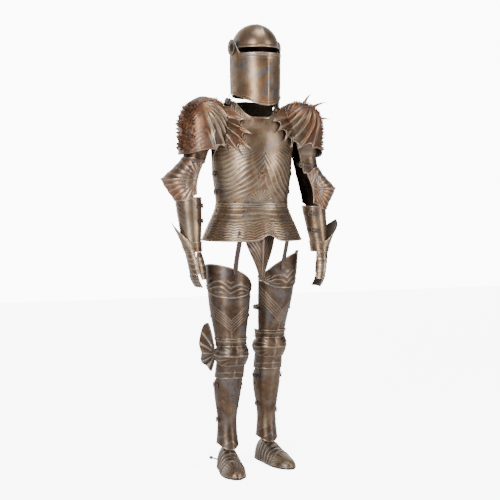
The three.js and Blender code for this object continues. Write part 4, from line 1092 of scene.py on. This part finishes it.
def buildKnee(sideName, legPlate):
    line, knee, k = legLine[sideName], kneePoint[sideName], kneeSet

    def cap(us, vs):
        high = 2 * vs - 1
        narrow = 1 - k["narrow"] * smooth(0.5, 1, np.abs(2 * us - 1))
        out = k["out"] - k["tuck"] * smooth(0.5, 1, high) + k["swell"] * (1 - high * high)
        return around(line, k["reach"] * (2 * us - 1), knee[2] + k["half"] * high * narrow, out)

    def capRelief(us, vs):
        s, band = 2 * us - 1, bump((vs - 0.5) / 0.05)
        rays = ridge(np.arctan2(vs - 0.5, np.abs(s) + 0.12) * 3.2, 1.5) * smooth(0.18, 0.4, np.abs(s))
        return (1.3 * band * (1 - smooth(0.7, 0.9, np.abs(s))) + 1.1 * rays
                + 0.8 * bump(s / 0.05) * (1 - band))

    legPlate("poleyn", "poleyn", cap, k["mesh"], capRelief, rim=(1.8, 1.1))
    at = {key: float(value) for key, value in section(line, float(knee[2])).items()}
    radius = k["rivet"]
    profile = [(3, -16), (radius, -15.5), (radius + 1.6, 0), (radius + 1.2, 1.6), (3.4, 3.2), (0.2, 3.6)]
    for way in (-1, 1):
        centre = (at["x"] + way * (at["wide"] + k["rivetGap"]), knee[1], knee[2])
        turned("kneeRivet_%s_%d" % (sideName, way), profile, centre, (way, 0, 0), finishes["rivet"],
               "harness", sides=20)


def buildShin(sideName, side, legPlate):
    line, kneeZ, shank = legLine[sideName], kneePoint[sideName][2], "shank_" + sideName

    def shin(us, vs):
        k, s = shinSet, 2 * us - 1
        top = mix(kneeZ - k["front"], kneeZ + k["side"], smooth(*k["sideEdge"], np.abs(s)))
        return around(line, k["reach"] * s, mix(kneeZ - k["low"], top, vs), lapGap)

    def shinFolds(us, vs):
        s = 2 * us - 1
        folds = ridge(vs * shinSet["folds"] + 0.25 * np.abs(s), 1.4) * (1 - smooth(0.55, 0.65, vs))
        return folds + shinSet["keel"] * bump(s / 0.06) * (1 - smooth(0.5, 0.6, vs))

    def frontRelief(us, vs):
        s = 2 * us - 1
        crest = greaveSet["crest"] * bump((s - side * 0.34 * (vs - 0.5)) / 0.15)
        folds = ridge((vs + 0.16 * np.abs(s)) * greaveSet["ankleFolds"], 1.8) * smooth(0.24, 0.1, vs)
        return crest + greaveSet["ankleRise"] * folds

    def backRelief(us, vs):
        return greaveSet["backSeam"] * bump((2 * us - 1) / 0.03)

    legPlate("demigreave", "demigreave", shin, shinSet["mesh"], shinFolds, body=shank, rim=(1.8, 0.9))
    for half, low, high, below in greaveTable:
        def greave(us, vs, low=low, high=high, below=below):
            angle = mix(low, high, us)
            hem = greaveSet["hem"] - greaveSet["instep"] * np.maximum(0, np.cos(np.radians(angle))) ** 2
            return around(line, angle, mix(hem, kneeZ - below, vs))

        legPlate("greave_" + half, "greave_" + half, greave, greaveSet["mesh"],
                 frontRelief if half == "front" else backRelief, body=shank, rim=(1.8, 1.0))


def shoeArch(low, high, step):
    def place(us, vs):
        k, along, a = footSet, mix(low, high, vs), np.pi * us
        base = k["sole"] + k["seam"]
        past = np.maximum(along - k["toeFrom"], 0) / k["toeRound"]
        past = past + np.maximum(-k["heelFrom"] - along, 0) / k["heelRound"]
        shut = np.sqrt(np.clip(1 - np.square(past), 0, 1))  # the toe and the heel close round
        wide, rise = footRead("wide", along) * shut, (footRead("high", along) - base) * shut
        return vec((wide + step * vs) * np.cos(a), -along, base + (rise + step * vs) * np.sin(a))
    return place


shoeReliefs = dict(
    heel=lambda us, vs: 1.0 * bump((vs - 0.5) / 0.05),
    instep=lambda us, vs: 2.4 * (vs * 3 % 1) ** 3 + 1.2 * bump((us - 0.5) / 0.02),
    lame_a=lambda us, vs: 1.6 * bump((vs - 0.8) / 0.1) + 1.0 * bump((us - 0.5) / 0.02),
    toe=lambda us, vs: (1.8 * ridge((us - 0.5) * 11 / (1.15 - 0.75 * vs), 1.5) * smooth(0.05, 0.2, vs)
                        * smooth(1, 0.85, vs)))
shoeReliefs["lame_b"] = shoeReliefs["lame_a"]


def buildShoe(sideName):
    foot, shank = footPlace[sideName], "shank_" + sideName
    footTurn = standing(foot["x"], foot["y"], foot["toeOut"])
    middle = np.array([foot["x"], foot["y"], footSet["sole"]], float)
    for piece, low, high, step, rows, finish in shoeTable:
        name = "sabaton_%s_%s" % (piece, sideName)
        plate(name, name, shoeArch(low, high, step), lambda p: middle + (p - middle) * [0.9, 1, 0],
              (footSet["columns"], rows), finish, "steel_" + finish, shoeReliefs[piece], shank,
              rim=(2.0, 1.2), turn=footTurn)
    rim = [(float(footRead("wide", a)) + soleSet["proud"], -a)
           for a in np.linspace(soleSet["low"], soleSet["high"], soleSet["points"])]
    outline = rim + [(-x, y) for x, y in rim[::-1]]
    points, thick = [], footSet["sole"]
    for grow, z in ((-1.2, 0), (0, 1.2), (0, thick - 1.0), (-1.0, thick)):
        wider, longer = 1 + grow / soleSet["across"], 1 + grow / soleSet["along"]
        points += [footTurn @ Vector((x * wider, y * longer, z)) for x, y in outline]
    faces = [f[::-1] for f in bandFaces(4, len(outline)) + endFaces(4, len(outline))]
    newMesh("sole_" + sideName, points, faces, finishes["sole"], shank, ["sole_" + sideName])


def buildLeg(sideName, side):
    def legPlate(name, node, place, mesh, relief, body="harness", **more):
        plate(name + "_" + sideName, node + "_" + sideName, place, coreOf(legLine[sideName]), mesh, "brown",
              "steel_brown", relief, body, **more)

    buildThigh(sideName, side, legPlate)
    buildKnee(sideName, legPlate)
    buildShin(sideName, side, legPlate)
    buildShoe(sideName)


for sideName, side in sideSign.items():
    buildLeg(sideName, side)

# The short prick spur behind the right heel
spurProfile = [(3.2, -6), (3.2, 34), (6.5, 36), (7.5, 40), (6.0, 45), (2.0, 47)]
turned("heelSpur", spurProfile, (-148, 11, 27), (-0.45, 1, 0.02), finishes["rivet"], "shank_right",
       sides=20)

# The fan of plate beside the right knee
kneeFanSet = dict(mesh=(130, 60), hub=(-178, -48.9, 484), core=(-100, 0, 480), turn=(-88, 82), reach=60,
                  start=8, tall=58, tallAt=0.93, tallWide=0.2, scallop=6, flutes=6, rise=3.0, lean=14)


def kneeFanPlace(us, vs):
    k, (x, y, z) = kneeFanSet, kneeFanSet["hub"]
    tilt = np.radians(mix(*k["turn"], us))
    tall = k["tall"] * bump((us - k["tallAt"]) / k["tallWide"])
    reach = (k["reach"] + tall + k["scallop"] * np.cos(k["flutes"] * np.pi * us)) * vs + k["start"]
    outward = reach * np.cos(tilt) * (0.62 + 0.25 * vs) * 0.55
    return vec(x - outward - k["lean"] * vs * vs, y + reach * np.cos(tilt) * 0.8, z + reach * np.sin(tilt))


plate("kneeWing", "knee_wing", kneeFanPlace, kneeFanSet["core"], kneeFanSet["mesh"], "brown", "steel_tan",
      lambda us, vs: kneeFanSet["rise"] * ridge(us * kneeFanSet["flutes"], 1.3) * smooth(0.05, 0.35, vs),
      rim=(1.8, 1.2))
print("legs built")


# Leather straps follow a path; each buckle is a bent wire frame with a tongue
strapShape = [  # across in shares of the width, up in shares of the thickness
    (-0.5, 0.1), (-0.46, 0.9), (-0.3, 1.0), (0, 1.06), (0.3, 1.0), (0.46, 0.9), (0.5, 0.1),
    (0.46, 0), (-0.46, 0)]
buckleSet = dict(points=28, square=0.5, beyond=3.0, half=9.0, lift=1.6, wire=1.5, tongueWire=1.1, tongueSides=6,
                 tongueLift=(2.4, 3.8, 3.8, 3.0))
buckles = {"harness": [], "shank_right": [], "shank_left": []}


def strapMesh(name, line, normals, width, thick, body, nodes=()):
    line = np.asarray(line, float)
    along = unit(np.gradient(line, axis=0))
    normals = unit(normals - along * (normals * along).sum(1, keepdims=True))
    across = np.cross(along, normals)
    points = [line[k] + across[k] * (a * width) + normals[k] * (h * thick)
              for k in range(len(line)) for a, h in strapShape]
    faces = bandFaces(len(line), len(strapShape)) + endFaces(len(line), len(strapShape))
    return newMesh(name, points, faces, finishes["leather"], body, nodes)


def tube(path, radius, sides=8, closed=True):
    path = np.asarray(path, float)
    n = len(path)
    ahead = unit(np.roll(path, -1, 0) - np.roll(path, 1, 0) if closed else np.gradient(path, axis=0))
    up = unit(np.cross(ahead, path - path.mean(0)), 1e-9)
    side = np.cross(up, ahead)
    points = [path[k] + radius * (side[k] * math.cos(a) + up[k] * math.sin(a))
              for k in range(n) for a in np.arange(sides) / sides * 2 * np.pi]
    return points, bandFaces(n, sides, closed) + ([] if closed else endFaces(n, sides))


def buckleParts(centre, along, normal, width, size=1.0):
    k, along = buckleSet, unit(along)
    normal = unit(normal - along * normal.dot(along))
    across = np.cross(along, normal)
    wire = []
    for a in np.arange(k["points"]) / k["points"] * 2 * np.pi:
        x = np.sign(np.cos(a)) * abs(np.cos(a)) ** k["square"] * (width / 2 + k["beyond"])
        y = np.sign(np.sin(a)) * abs(np.sin(a)) ** k["square"] * k["half"] * size
        wire.append(centre + across * x + along * y + normal * k["lift"])
    steps = zip((-9 * size, -3, 3, 10 * size), k["tongueLift"])
    tongue = [centre + along * t + normal * h for t, h in steps]
    return [tube(wire, k["wire"]), tube(tongue, k["tongueWire"], k["tongueSides"], False)]


def aroundStrap(name, line, z, start, end, out, body, width=15, thick=2.2, tilt=0.0, buckleAt=None):
    steps = 30
    path = around(line, np.linspace(start, end, steps), z + tilt * np.linspace(-0.5, 0.5, steps), out)
    normals = path - coreOf(line)(path)
    strapMesh(name, path, normals, width, thick, body)
    if buckleAt is not None:
        k = int(np.clip(round((buckleAt - start) / (end - start) * (steps - 1)), 1, steps - 2))
        centre = path[k] + normals[k] / np.linalg.norm(normals[k]) * thick
        buckles[body] += buckleParts(centre, path[k + 1] - path[k - 1], normals[k], width)


shoulderStrapSet = dict(turn=(46, 132), points=40, z=1500, rise=26, out=0.9, width=23, thick=2.6, fromZ=25,
                        buckleAt=9, buckleWidth=22, buckleSize=0.8)
thighStrapSet = dict(points=40, width=21, thick=2.4, inside=(1005, 965), tuck=8, standOff=2.5, start=8, end=34,
                     back=1.6, facing=(0.15, -1.0, 0.1))
hangTable = {  # turn in degrees, height of the lower end, clearance at the fauld and over the thigh plate
    "right": (-30, 846, 2.0, 3.1),
    "left": (31, 858, 3.2, 2.7)}


def shoulderStrap(sideName, side):
    k = shoulderStrapSet
    turn, v = np.linspace(*k["turn"], k["points"]), np.linspace(0, 1, k["points"])
    path = around(torso, side * turn, k["z"] + k["rise"] * np.sin(np.pi * v), k["out"])
    upward = path - vec(0, 0, path[:, 2] - k["fromZ"])
    strapMesh("shoulderStrap_" + sideName, path, upward, k["width"], k["thick"], "harness",
              ["shoulder_strap_" + sideName])
    i = k["buckleAt"]
    buckles["harness"] += buckleParts(path[i] + [side * 2.2, -1.5, 1.6], path[i + 1] - path[i - 1], upward[i],
                                      k["buckleWidth"], k["buckleSize"])


def smoothPath(keys, count):  # a smooth curve through the points
    ends = [keys[0] - (keys[1] - keys[0]), *keys, keys[-1] + (keys[-1] - keys[-2])]
    curve, spans = [], len(keys) - 1
    for q in np.linspace(0, 1, count) * spans:
        j = min(int(q), spans - 1)
        p0, p1, p2, p3 = ends[j:j + 4]
        s = q - j
        curve.append(0.5 * (2 * p1 + (p2 - p0) * s + (2 * p0 - 5 * p1 + 4 * p2 - p3) * s * s
                            + (3 * p1 - p0 - 3 * p2 + p3) * s ** 3))
    return np.array(curve)


def thighStrap(sideName, side):
    k, line = thighStrapSet, legLine[sideName]
    turn, low, atFauld, overThigh = hangTable[sideName]
    out = lapGap + overThigh + k["standOff"]
    keys = [around(torso, turn, k["inside"][0], -wallThick - k["tuck"]),
            around(torso, turn, k["inside"][1], -wallThick - atFauld),
            around(line, 0, low + k["start"], out), around(line, 0, low - k["end"], out)]
    curve = smoothPath(keys, k["points"]) + [0, k["back"], 0]
    facing = np.tile(np.array(k["facing"]) * [side, 1, 1], (k["points"], 1))
    strapMesh("thighStrap_" + sideName, curve, facing, k["width"], k["thick"], "harness",
              ["thigh_strap_" + sideName])


for sideName, side in sideSign.items():
    shoulderStrap(sideName, side)
    thighStrap(sideName, side)

strapTable = [  # name, line, height, from, to, stand-off, body, tilt, buckle
    ("thighBack_right", legLine["right"], 640, 62, 292, 1.0, "harness", 0, None),
    ("thighBack_left", legLine["left"], 660, 66, 296, 1.0, "harness", 0, None),
    ("calfUpper_right", legLine["right"], 350, 70, 112, 1.0, "shank_right", 0, None),
    ("calfUpperOut_right", legLine["right"], 352, -128, -62, 1.2, "shank_right", 4, -86),
    ("calfLower_right", legLine["right"], 205, -128, -66, 1.2, "shank_right", 4, -88),
    ("calfUpper_left", legLine["left"], 366, -122, -52, 1.2, "shank_left", -4, -78),
    ("calfLower_left", legLine["left"], 245, -122, -58, 1.2, "shank_left", 4, -82),
    ("calfUpperOut_left", legLine["left"], 366, 66, 124, 1.2, "shank_left", 4, 84),
    ("calfLowerOut_left", legLine["left"], 215, 60, 122, 1.2, "shank_left", 4, 84),
    ("forearmUpper_right", armLine["right"], 1092, 20, 96, 1.2, "harness", 6, 62),
    ("forearmLower_right", armLine["right"], 1030, 22, 98, 1.2, "harness", 6, 64),
    ("forearmUpper_left", armLine["left"], 1058, -92, -14, 1.2, "harness", -6, -40),
    ("forearmLower_left", armLine["left"], 985, -92, -14, 1.2, "harness", -6, -40),
    ("upperArm_right", armLine["right"], 1276, -40, 30, 4.6, "harness", 0, None),
    ("upperArm_left", armLine["left"], 1262, -60, 10, 4.6, "harness", -8, -38)]
sideStrapSet = dict(heights=(1150, 1225), start=72, end=106, buckleAt=86, out=1.4, width=17, thick=2.4)
loopSet = dict(x=98, y=-20, z=1539, across=7, tall=11, wire=1.4, points=24)
for name, line, z, start, end, out, body, tilt, at in strapTable:
    aroundStrap(name, line, z, start, end, out, body, tilt=tilt, buckleAt=at)
for sideName, side in sideSign.items():  # straps close the sides of the cuirass
    k = sideStrapSet
    for z in k["heights"]:
        aroundStrap("sideStrap_%s_%d" % (sideName, z), torso, z, side * k["start"], side * k["end"], k["out"],
                    "harness", k["width"], k["thick"], 0, side * k["buckleAt"])
for side in sideSign.values():  # a wire loop stands on each shoulder strap
    k = loopSet
    loop = [(side * (k["x"] + k["across"] * math.cos(a)), k["y"], k["z"] + k["tall"] * math.sin(a))
            for a in np.linspace(0, 2 * math.pi, k["points"] + 1)[:-1]]
    buckles["harness"].append(tube(loop, k["wire"]))
for body, parts in buckles.items():
    points, faces = joinMeshes(parts)
    newMesh("buckles_" + body, points, faces, finishes["buckle"], body)
print("straps built")


# Rivets and shoulder spikes: one tree sets a small form on each point, along its normal
def scatterTree():
    g = bpy.data.node_groups.new("studsOnPoints", "GeometryNodeTree")
    socket(g, "Geometry", "Geometry", "INPUT")
    for name, value in (("Base Radius", 0.0035), ("Top Radius", 0.001), ("Height", 0.003)):
        socket(g, name, "Float", "INPUT", value)
    socket(g, "Sides", "Int", "INPUT", 10)
    socket(g, "Finish", "Material", "INPUT")
    socket(g, "Geometry", "Geometry", "OUTPUT")
    ins, outs = g.nodes.new("NodeGroupInput").outputs, g.nodes.new("NodeGroupOutput").inputs
    cone = g.nodes.new("GeometryNodeMeshCone")
    cone.inputs["Side Segments"].default_value = 2
    for name, key in (("Sides", "Vertices"), ("Base Radius", "Radius Bottom"), ("Top Radius", "Radius Top"),
                      ("Height", "Depth")):
        link(g, ins[name], cone.inputs[key])

    def stored(name, kind):
        n = g.nodes.new("GeometryNodeInputNamedAttribute")
        n.data_type = kind
        n.inputs["Name"].default_value = name
        return n.outputs["Attribute"]

    align = g.nodes.new("FunctionNodeAlignEulerToVector")
    align.axis = "Z"
    link(g, stored("lean", "FLOAT_VECTOR"), align.inputs["Vector"])
    put = g.nodes.new("GeometryNodeInstanceOnPoints")
    link(g, ins["Geometry"], put.inputs["Points"])
    link(g, cone.outputs["Mesh"], put.inputs["Instance"])
    link(g, align.outputs["Rotation"], put.inputs["Rotation"])
    link(g, stored("grow", "FLOAT"), put.inputs["Scale"])
    real = g.nodes.new("GeometryNodeRealizeInstances")
    link(g, put.outputs["Instances"], real.inputs["Geometry"])
    shade = g.nodes.new("GeometryNodeSetMaterial")
    link(g, real.outputs["Geometry"], shade.inputs["Geometry"])
    link(g, ins["Finish"], shade.inputs["Material"])
    link(g, shade.outputs["Geometry"], outs["Geometry"])
    return g


studTree = scatterTree()


def studs(name, points, leans, sizes, body, values):
    mesh = bpy.data.meshes.new(name + "Points")
    mesh.from_pydata(inFrame(points).tolist(), [], [])
    lean = mesh.attributes.new("lean", "FLOAT_VECTOR", "POINT")
    lean.data.foreach_set("vector", np.asarray(leans, np.float32).ravel())
    grow = mesh.attributes.new("grow", "FLOAT", "POINT")
    grow.data.foreach_set("value", np.asarray(sizes, np.float32))
    source = addObject(name + "Points", mesh)
    mod = source.modifiers.new("studs", "NODES")
    mod.node_group = studTree
    for item in studTree.interface.items_tree:
        if item.in_out == "INPUT" and item.name in values:
            mod[item.identifier] = values[item.name]
    ready = source.evaluated_get(bpy.context.evaluated_depsgraph_get())
    final = bpy.data.meshes.new_from_object(ready)
    bpy.data.objects.remove(source)
    obj = addObject(name, final)
    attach(obj, body)
    return obj


rivetSet = {"Base Radius": 0.0036, "Top Radius": 0.0017, "Height": 0.0028, "Sides": 12,
            "Finish": finishes["rivet"]}
rivetLift = 1.4
pauldronRivets = dict(turns=(110, 140, 170, -160, -140, -118), fromEdge=5, lift=1.2)
rivetPoints = {"harness": [], "visor": [], "shank_right": [], "shank_left": []}


def rivetRow(body, place, core, pairs, turn=None):  # pairs of u, v on a plate
    us, vs = (np.array([p[i] for p in pairs], float)[None, :] for i in (0, 1))
    step = 1e-3
    grid = place(us, vs)
    alongU = place(us + step, vs) - grid
    alongV = place(us, vs + step * np.where(vs > 0.5, -1, 1)) - grid
    if turn is not None:
        m = np.array(turn.to_3x3().transposed())
        grid, alongU, alongV = grid @ m + np.array(turn.translation), alongU @ m, alongV @ m
    normals = unit(np.cross(alongU, alongV))
    normals *= np.sign((normals * awayFrom(core, grid)).sum(-1, keepdims=True))
    rivetPoints[body] += list(zip(grid[0] + normals[0] * rivetLift, normals[0]))


def onGrid(columns, rows):
    return [(u, v) for u in columns for v in rows]


def surfaceNormals(sideName, turn, reach, p, step):  # outward from the shoulder, at points of the pauldron
    surface = surfaces[sideName]
    n = unit(np.cross(surface(turn + 1.0, reach) - p, surface(turn, reach + step) - p), 1e-9)
    return n * np.sign((n * (p - np.array(wingSet[sideName]["middle"]))).sum(1, keepdims=True))


def legRivets(sideName, side):
    line, thigh, kneeZ = legLine[sideName], thighSet[sideName], kneePoint[sideName][2]
    core = coreOf(line)
    for z, out in ((kneeZ + 64, lapGap), (kneeZ + 36, 2 * lapGap)):
        rivetRow("harness", lambda us, vs: around(line, 96 * (2 * us - 1), z + vs * 10, out), core,
                 [(u, 0.5) for u in (0.04, 0.96, 0.2, 0.8)])

    def thighHem(us, vs):
        z = mix(thigh["low"] + 26, thigh["low"] + 60, vs)
        return around(line, side * upperSet["turn"] + thigh["backTo"] * (2 * us - 1), z, lapGap)

    rivetRow("harness", thighHem, core, [(0.06, 0.6), (0.94, 0.6), (0.24, 0.3), (0.76, 0.3)])
    rivetRow("shank_" + sideName, lambda us, vs: around(line, -88 + 176 * us, mix(150, 380, vs)), core,
             onGrid((0.02, 0.98), (0.1, 0.45, 0.8)))


def armRivets(sideName):
    line, low = armLine[sideName], armSet[sideName]["wrist"] + 12
    rivetRow("harness", lambda us, vs: around(line, 360 * us, low + vs * 8, lapGap), coreOf(line),
             [(k / 8 + 0.06, 0.3) for k in range(8)])


def wingRivets(sideName):
    k, w = pauldronRivets, wingSet[sideName]
    turn = np.array(k["turns"], float)
    reach = wingEdge(w, turn)[0] - k["fromEdge"]
    p = surfaces[sideName](turn, reach)
    n = surfaceNormals(sideName, turn, reach, p, -1.0)
    rivetPoints["harness"] += list(zip(p + n * k["lift"], n))


rivetRow("harness", breastPlace, torsoCore,
         [(0.5 + way * u, 0.028) for way in (-1, 1) for u in (0.12, 0.24, 0.36, 0.46)])
for name, low, high, columns, arched in fauldTable:
    rivetRow("harness", fauldPlace(low, high, arched), torsoCore,
             onGrid((0.03, 0.17, 0.34, 0.66, 0.83, 0.97), (0.69, 0.83, 0.95)))
rivetRow("visor", visorPlace, helmetCore, [(u, 0.045) for u in (0.1, 0.22, 0.78, 0.9)], turn=helmetTurn)
for sideName, side in sideSign.items():
    legRivets(sideName, side)
    armRivets(sideName)
    wingRivets(sideName)
for body, found in rivetPoints.items():
    studs("rivets_" + body, [p for p, n in found], [n for p, n in found], [1.0] * len(found), body, rivetSet)

spikeSet = {"Base Radius": 0.0034, "Top Radius": 0.0003, "Height": 0.0085, "Sides": 7,
            "Finish": finishes["scale"]}
spikeTable = dict(  # from and to in degrees about the hub, count, height
    right=(-150, -62, 230, 1.0),
    left=(-120, -72, 120, 0.9))
fieldSet = dict(shares=(0.04, 0.94), grow=(0.8, 1.6), upward=0.35, lift=1.5, seed=7)
# Taller ones stand along the outline
crestSet = dict(reach=(-72, 74), count=34, front=88.0, back=-92.0, short=0.62, grow=(1.1, 1.9))


def setSpikes(sideName, rng):
    low, high, count, tall = spikeTable[sideName]
    w, k = wingSet[sideName], crestSet
    turn = rng.uniform(low, high, count)
    reach = rng.uniform(*fieldSet["shares"], count) * readColumn(w["turn"], w["reach"], turn)
    crest = np.linspace(*k["reach"], k["count"])
    turn = np.concatenate([turn, np.where(crest < 0, k["front"], k["back"])])
    reach = np.concatenate([reach, np.where(crest < 0, -crest * k["short"], crest)])
    grow = np.concatenate([rng.uniform(*fieldSet["grow"], count), rng.uniform(*k["grow"], k["count"])]) * tall
    p = surfaces[sideName](turn, reach)
    n = surfaceNormals(sideName, turn, reach, p, 1.0)
    upward = n + np.array([0, 0, fieldSet["upward"]])
    studs("shoulderSpikes_" + sideName, p + n * fieldSet["lift"], upward, grow, "harness", spikeSet)


rng = np.random.default_rng(fieldSet["seed"])
for sideName in spikeTable:
    setSpikes(sideName, rng)
print("rivets and spikes set")

# Floor, soft studio light and the camera at the photograph's angle
studioSet = dict(half=9000, front=7000, wallTop=8490, floorZ=-0.5, skySeen=9.0, skyFelt=0.27)
lampTable = [  # name, place, width and height in metres, watts
    ("keySoftbox", (-2.9, -2.9, 0.7), (0.8, 3.0), 250),
    ("fillSoftbox", (2.7, -2.8, 0.4), (0.6, 3.0), 130),
    ("topSoftbox", (0.2, -0.6, 2.6), (1.4, 1.4), 70)]
lampAim = (0, 0, -0.4)
cameraSet = dict(azimuth=-20, distance=5.0, height=1.2, sensor=36, clip=(0.1, 40),
                 picture=500, focal=1195.0, axisAt=251.5, horizonAt=179.5)  # these four in pixels


def sweepSheet(name, corners, paint, colour, rough, glow):
    return newMesh(name, corners, [(0, 1, 2, 3)], plainMaterial(paint, colour, rough, glow=glow), None)


def buildStudio():
    k, world = studioSet, bpy.data.worlds.new("studio")
    bpy.context.scene.world = world
    world.use_nodes = True
    t = world.node_tree
    t.nodes["Background"].inputs["Color"].default_value = (1, 1, 1, 1)
    seen = t.nodes.new("ShaderNodeLightPath").outputs["Is Camera Ray"]
    strength = mathNode(t, "ADD", mathNode(t, "MULTIPLY", seen, k["skySeen"]), k["skyFelt"])
    link(t, strength, t.nodes["Background"].inputs["Strength"])
    x, y, z, top = k["half"], k["front"], k["floorZ"], k["wallTop"]
    floor = sweepSheet("floor", [(-x, -y, z), (x, -y, z), (x, x, z), (-x, x, z)], "paleFloor",
                       (0.88, 0.88, 0.88), 0.75, (7.5, 0.22))
    backdrop = sweepSheet("backdrop", [(-x, y, z), (x, y, z), (x, y, top), (-x, y, top)], "paleWall",
                          (0.9, 0.9, 0.9), 0.8, (10.0, 1.5))


def softLight(name, place, size, power):
    lamp = bpy.data.lights.new(name, "AREA")
    lamp.shape, lamp.energy = "RECTANGLE", power
    lamp.size, lamp.size_y = size
    obj = addObject(name, lamp)
    obj.location = place
    obj.rotation_euler = (Vector(lampAim) - Vector(place)).to_track_quat("-Z", "Y").to_euler()


def placeCamera():
    k, half = cameraSet, cameraSet["picture"] / 2
    azimuth = math.radians(k["azimuth"])
    pitch = math.atan((half - k["horizonAt"]) / k["focal"])
    heading = azimuth + math.atan((k["axisAt"] - half) / k["focal"])
    data = bpy.data.cameras.new("camera")
    data.sensor_width = k["sensor"]
    data.lens = k["focal"] * k["sensor"] / k["picture"]
    data.clip_start, data.clip_end = k["clip"]
    obj = addObject("camera", data)
    obj.location = (math.sin(azimuth) * k["distance"], -math.cos(azimuth) * k["distance"],
                    k["height"] - neckHeight * millimetre)
    level = math.cos(pitch)
    ahead = Vector((-math.sin(heading) * level, math.cos(heading) * level, -math.sin(pitch)))
    obj.rotation_euler = ahead.to_track_quat("-Z", "Y").to_euler()
    bpy.context.scene.camera = obj


buildStudio()
for row in lampTable:
    softLight(*row)
placeCamera()
print("studio ready")
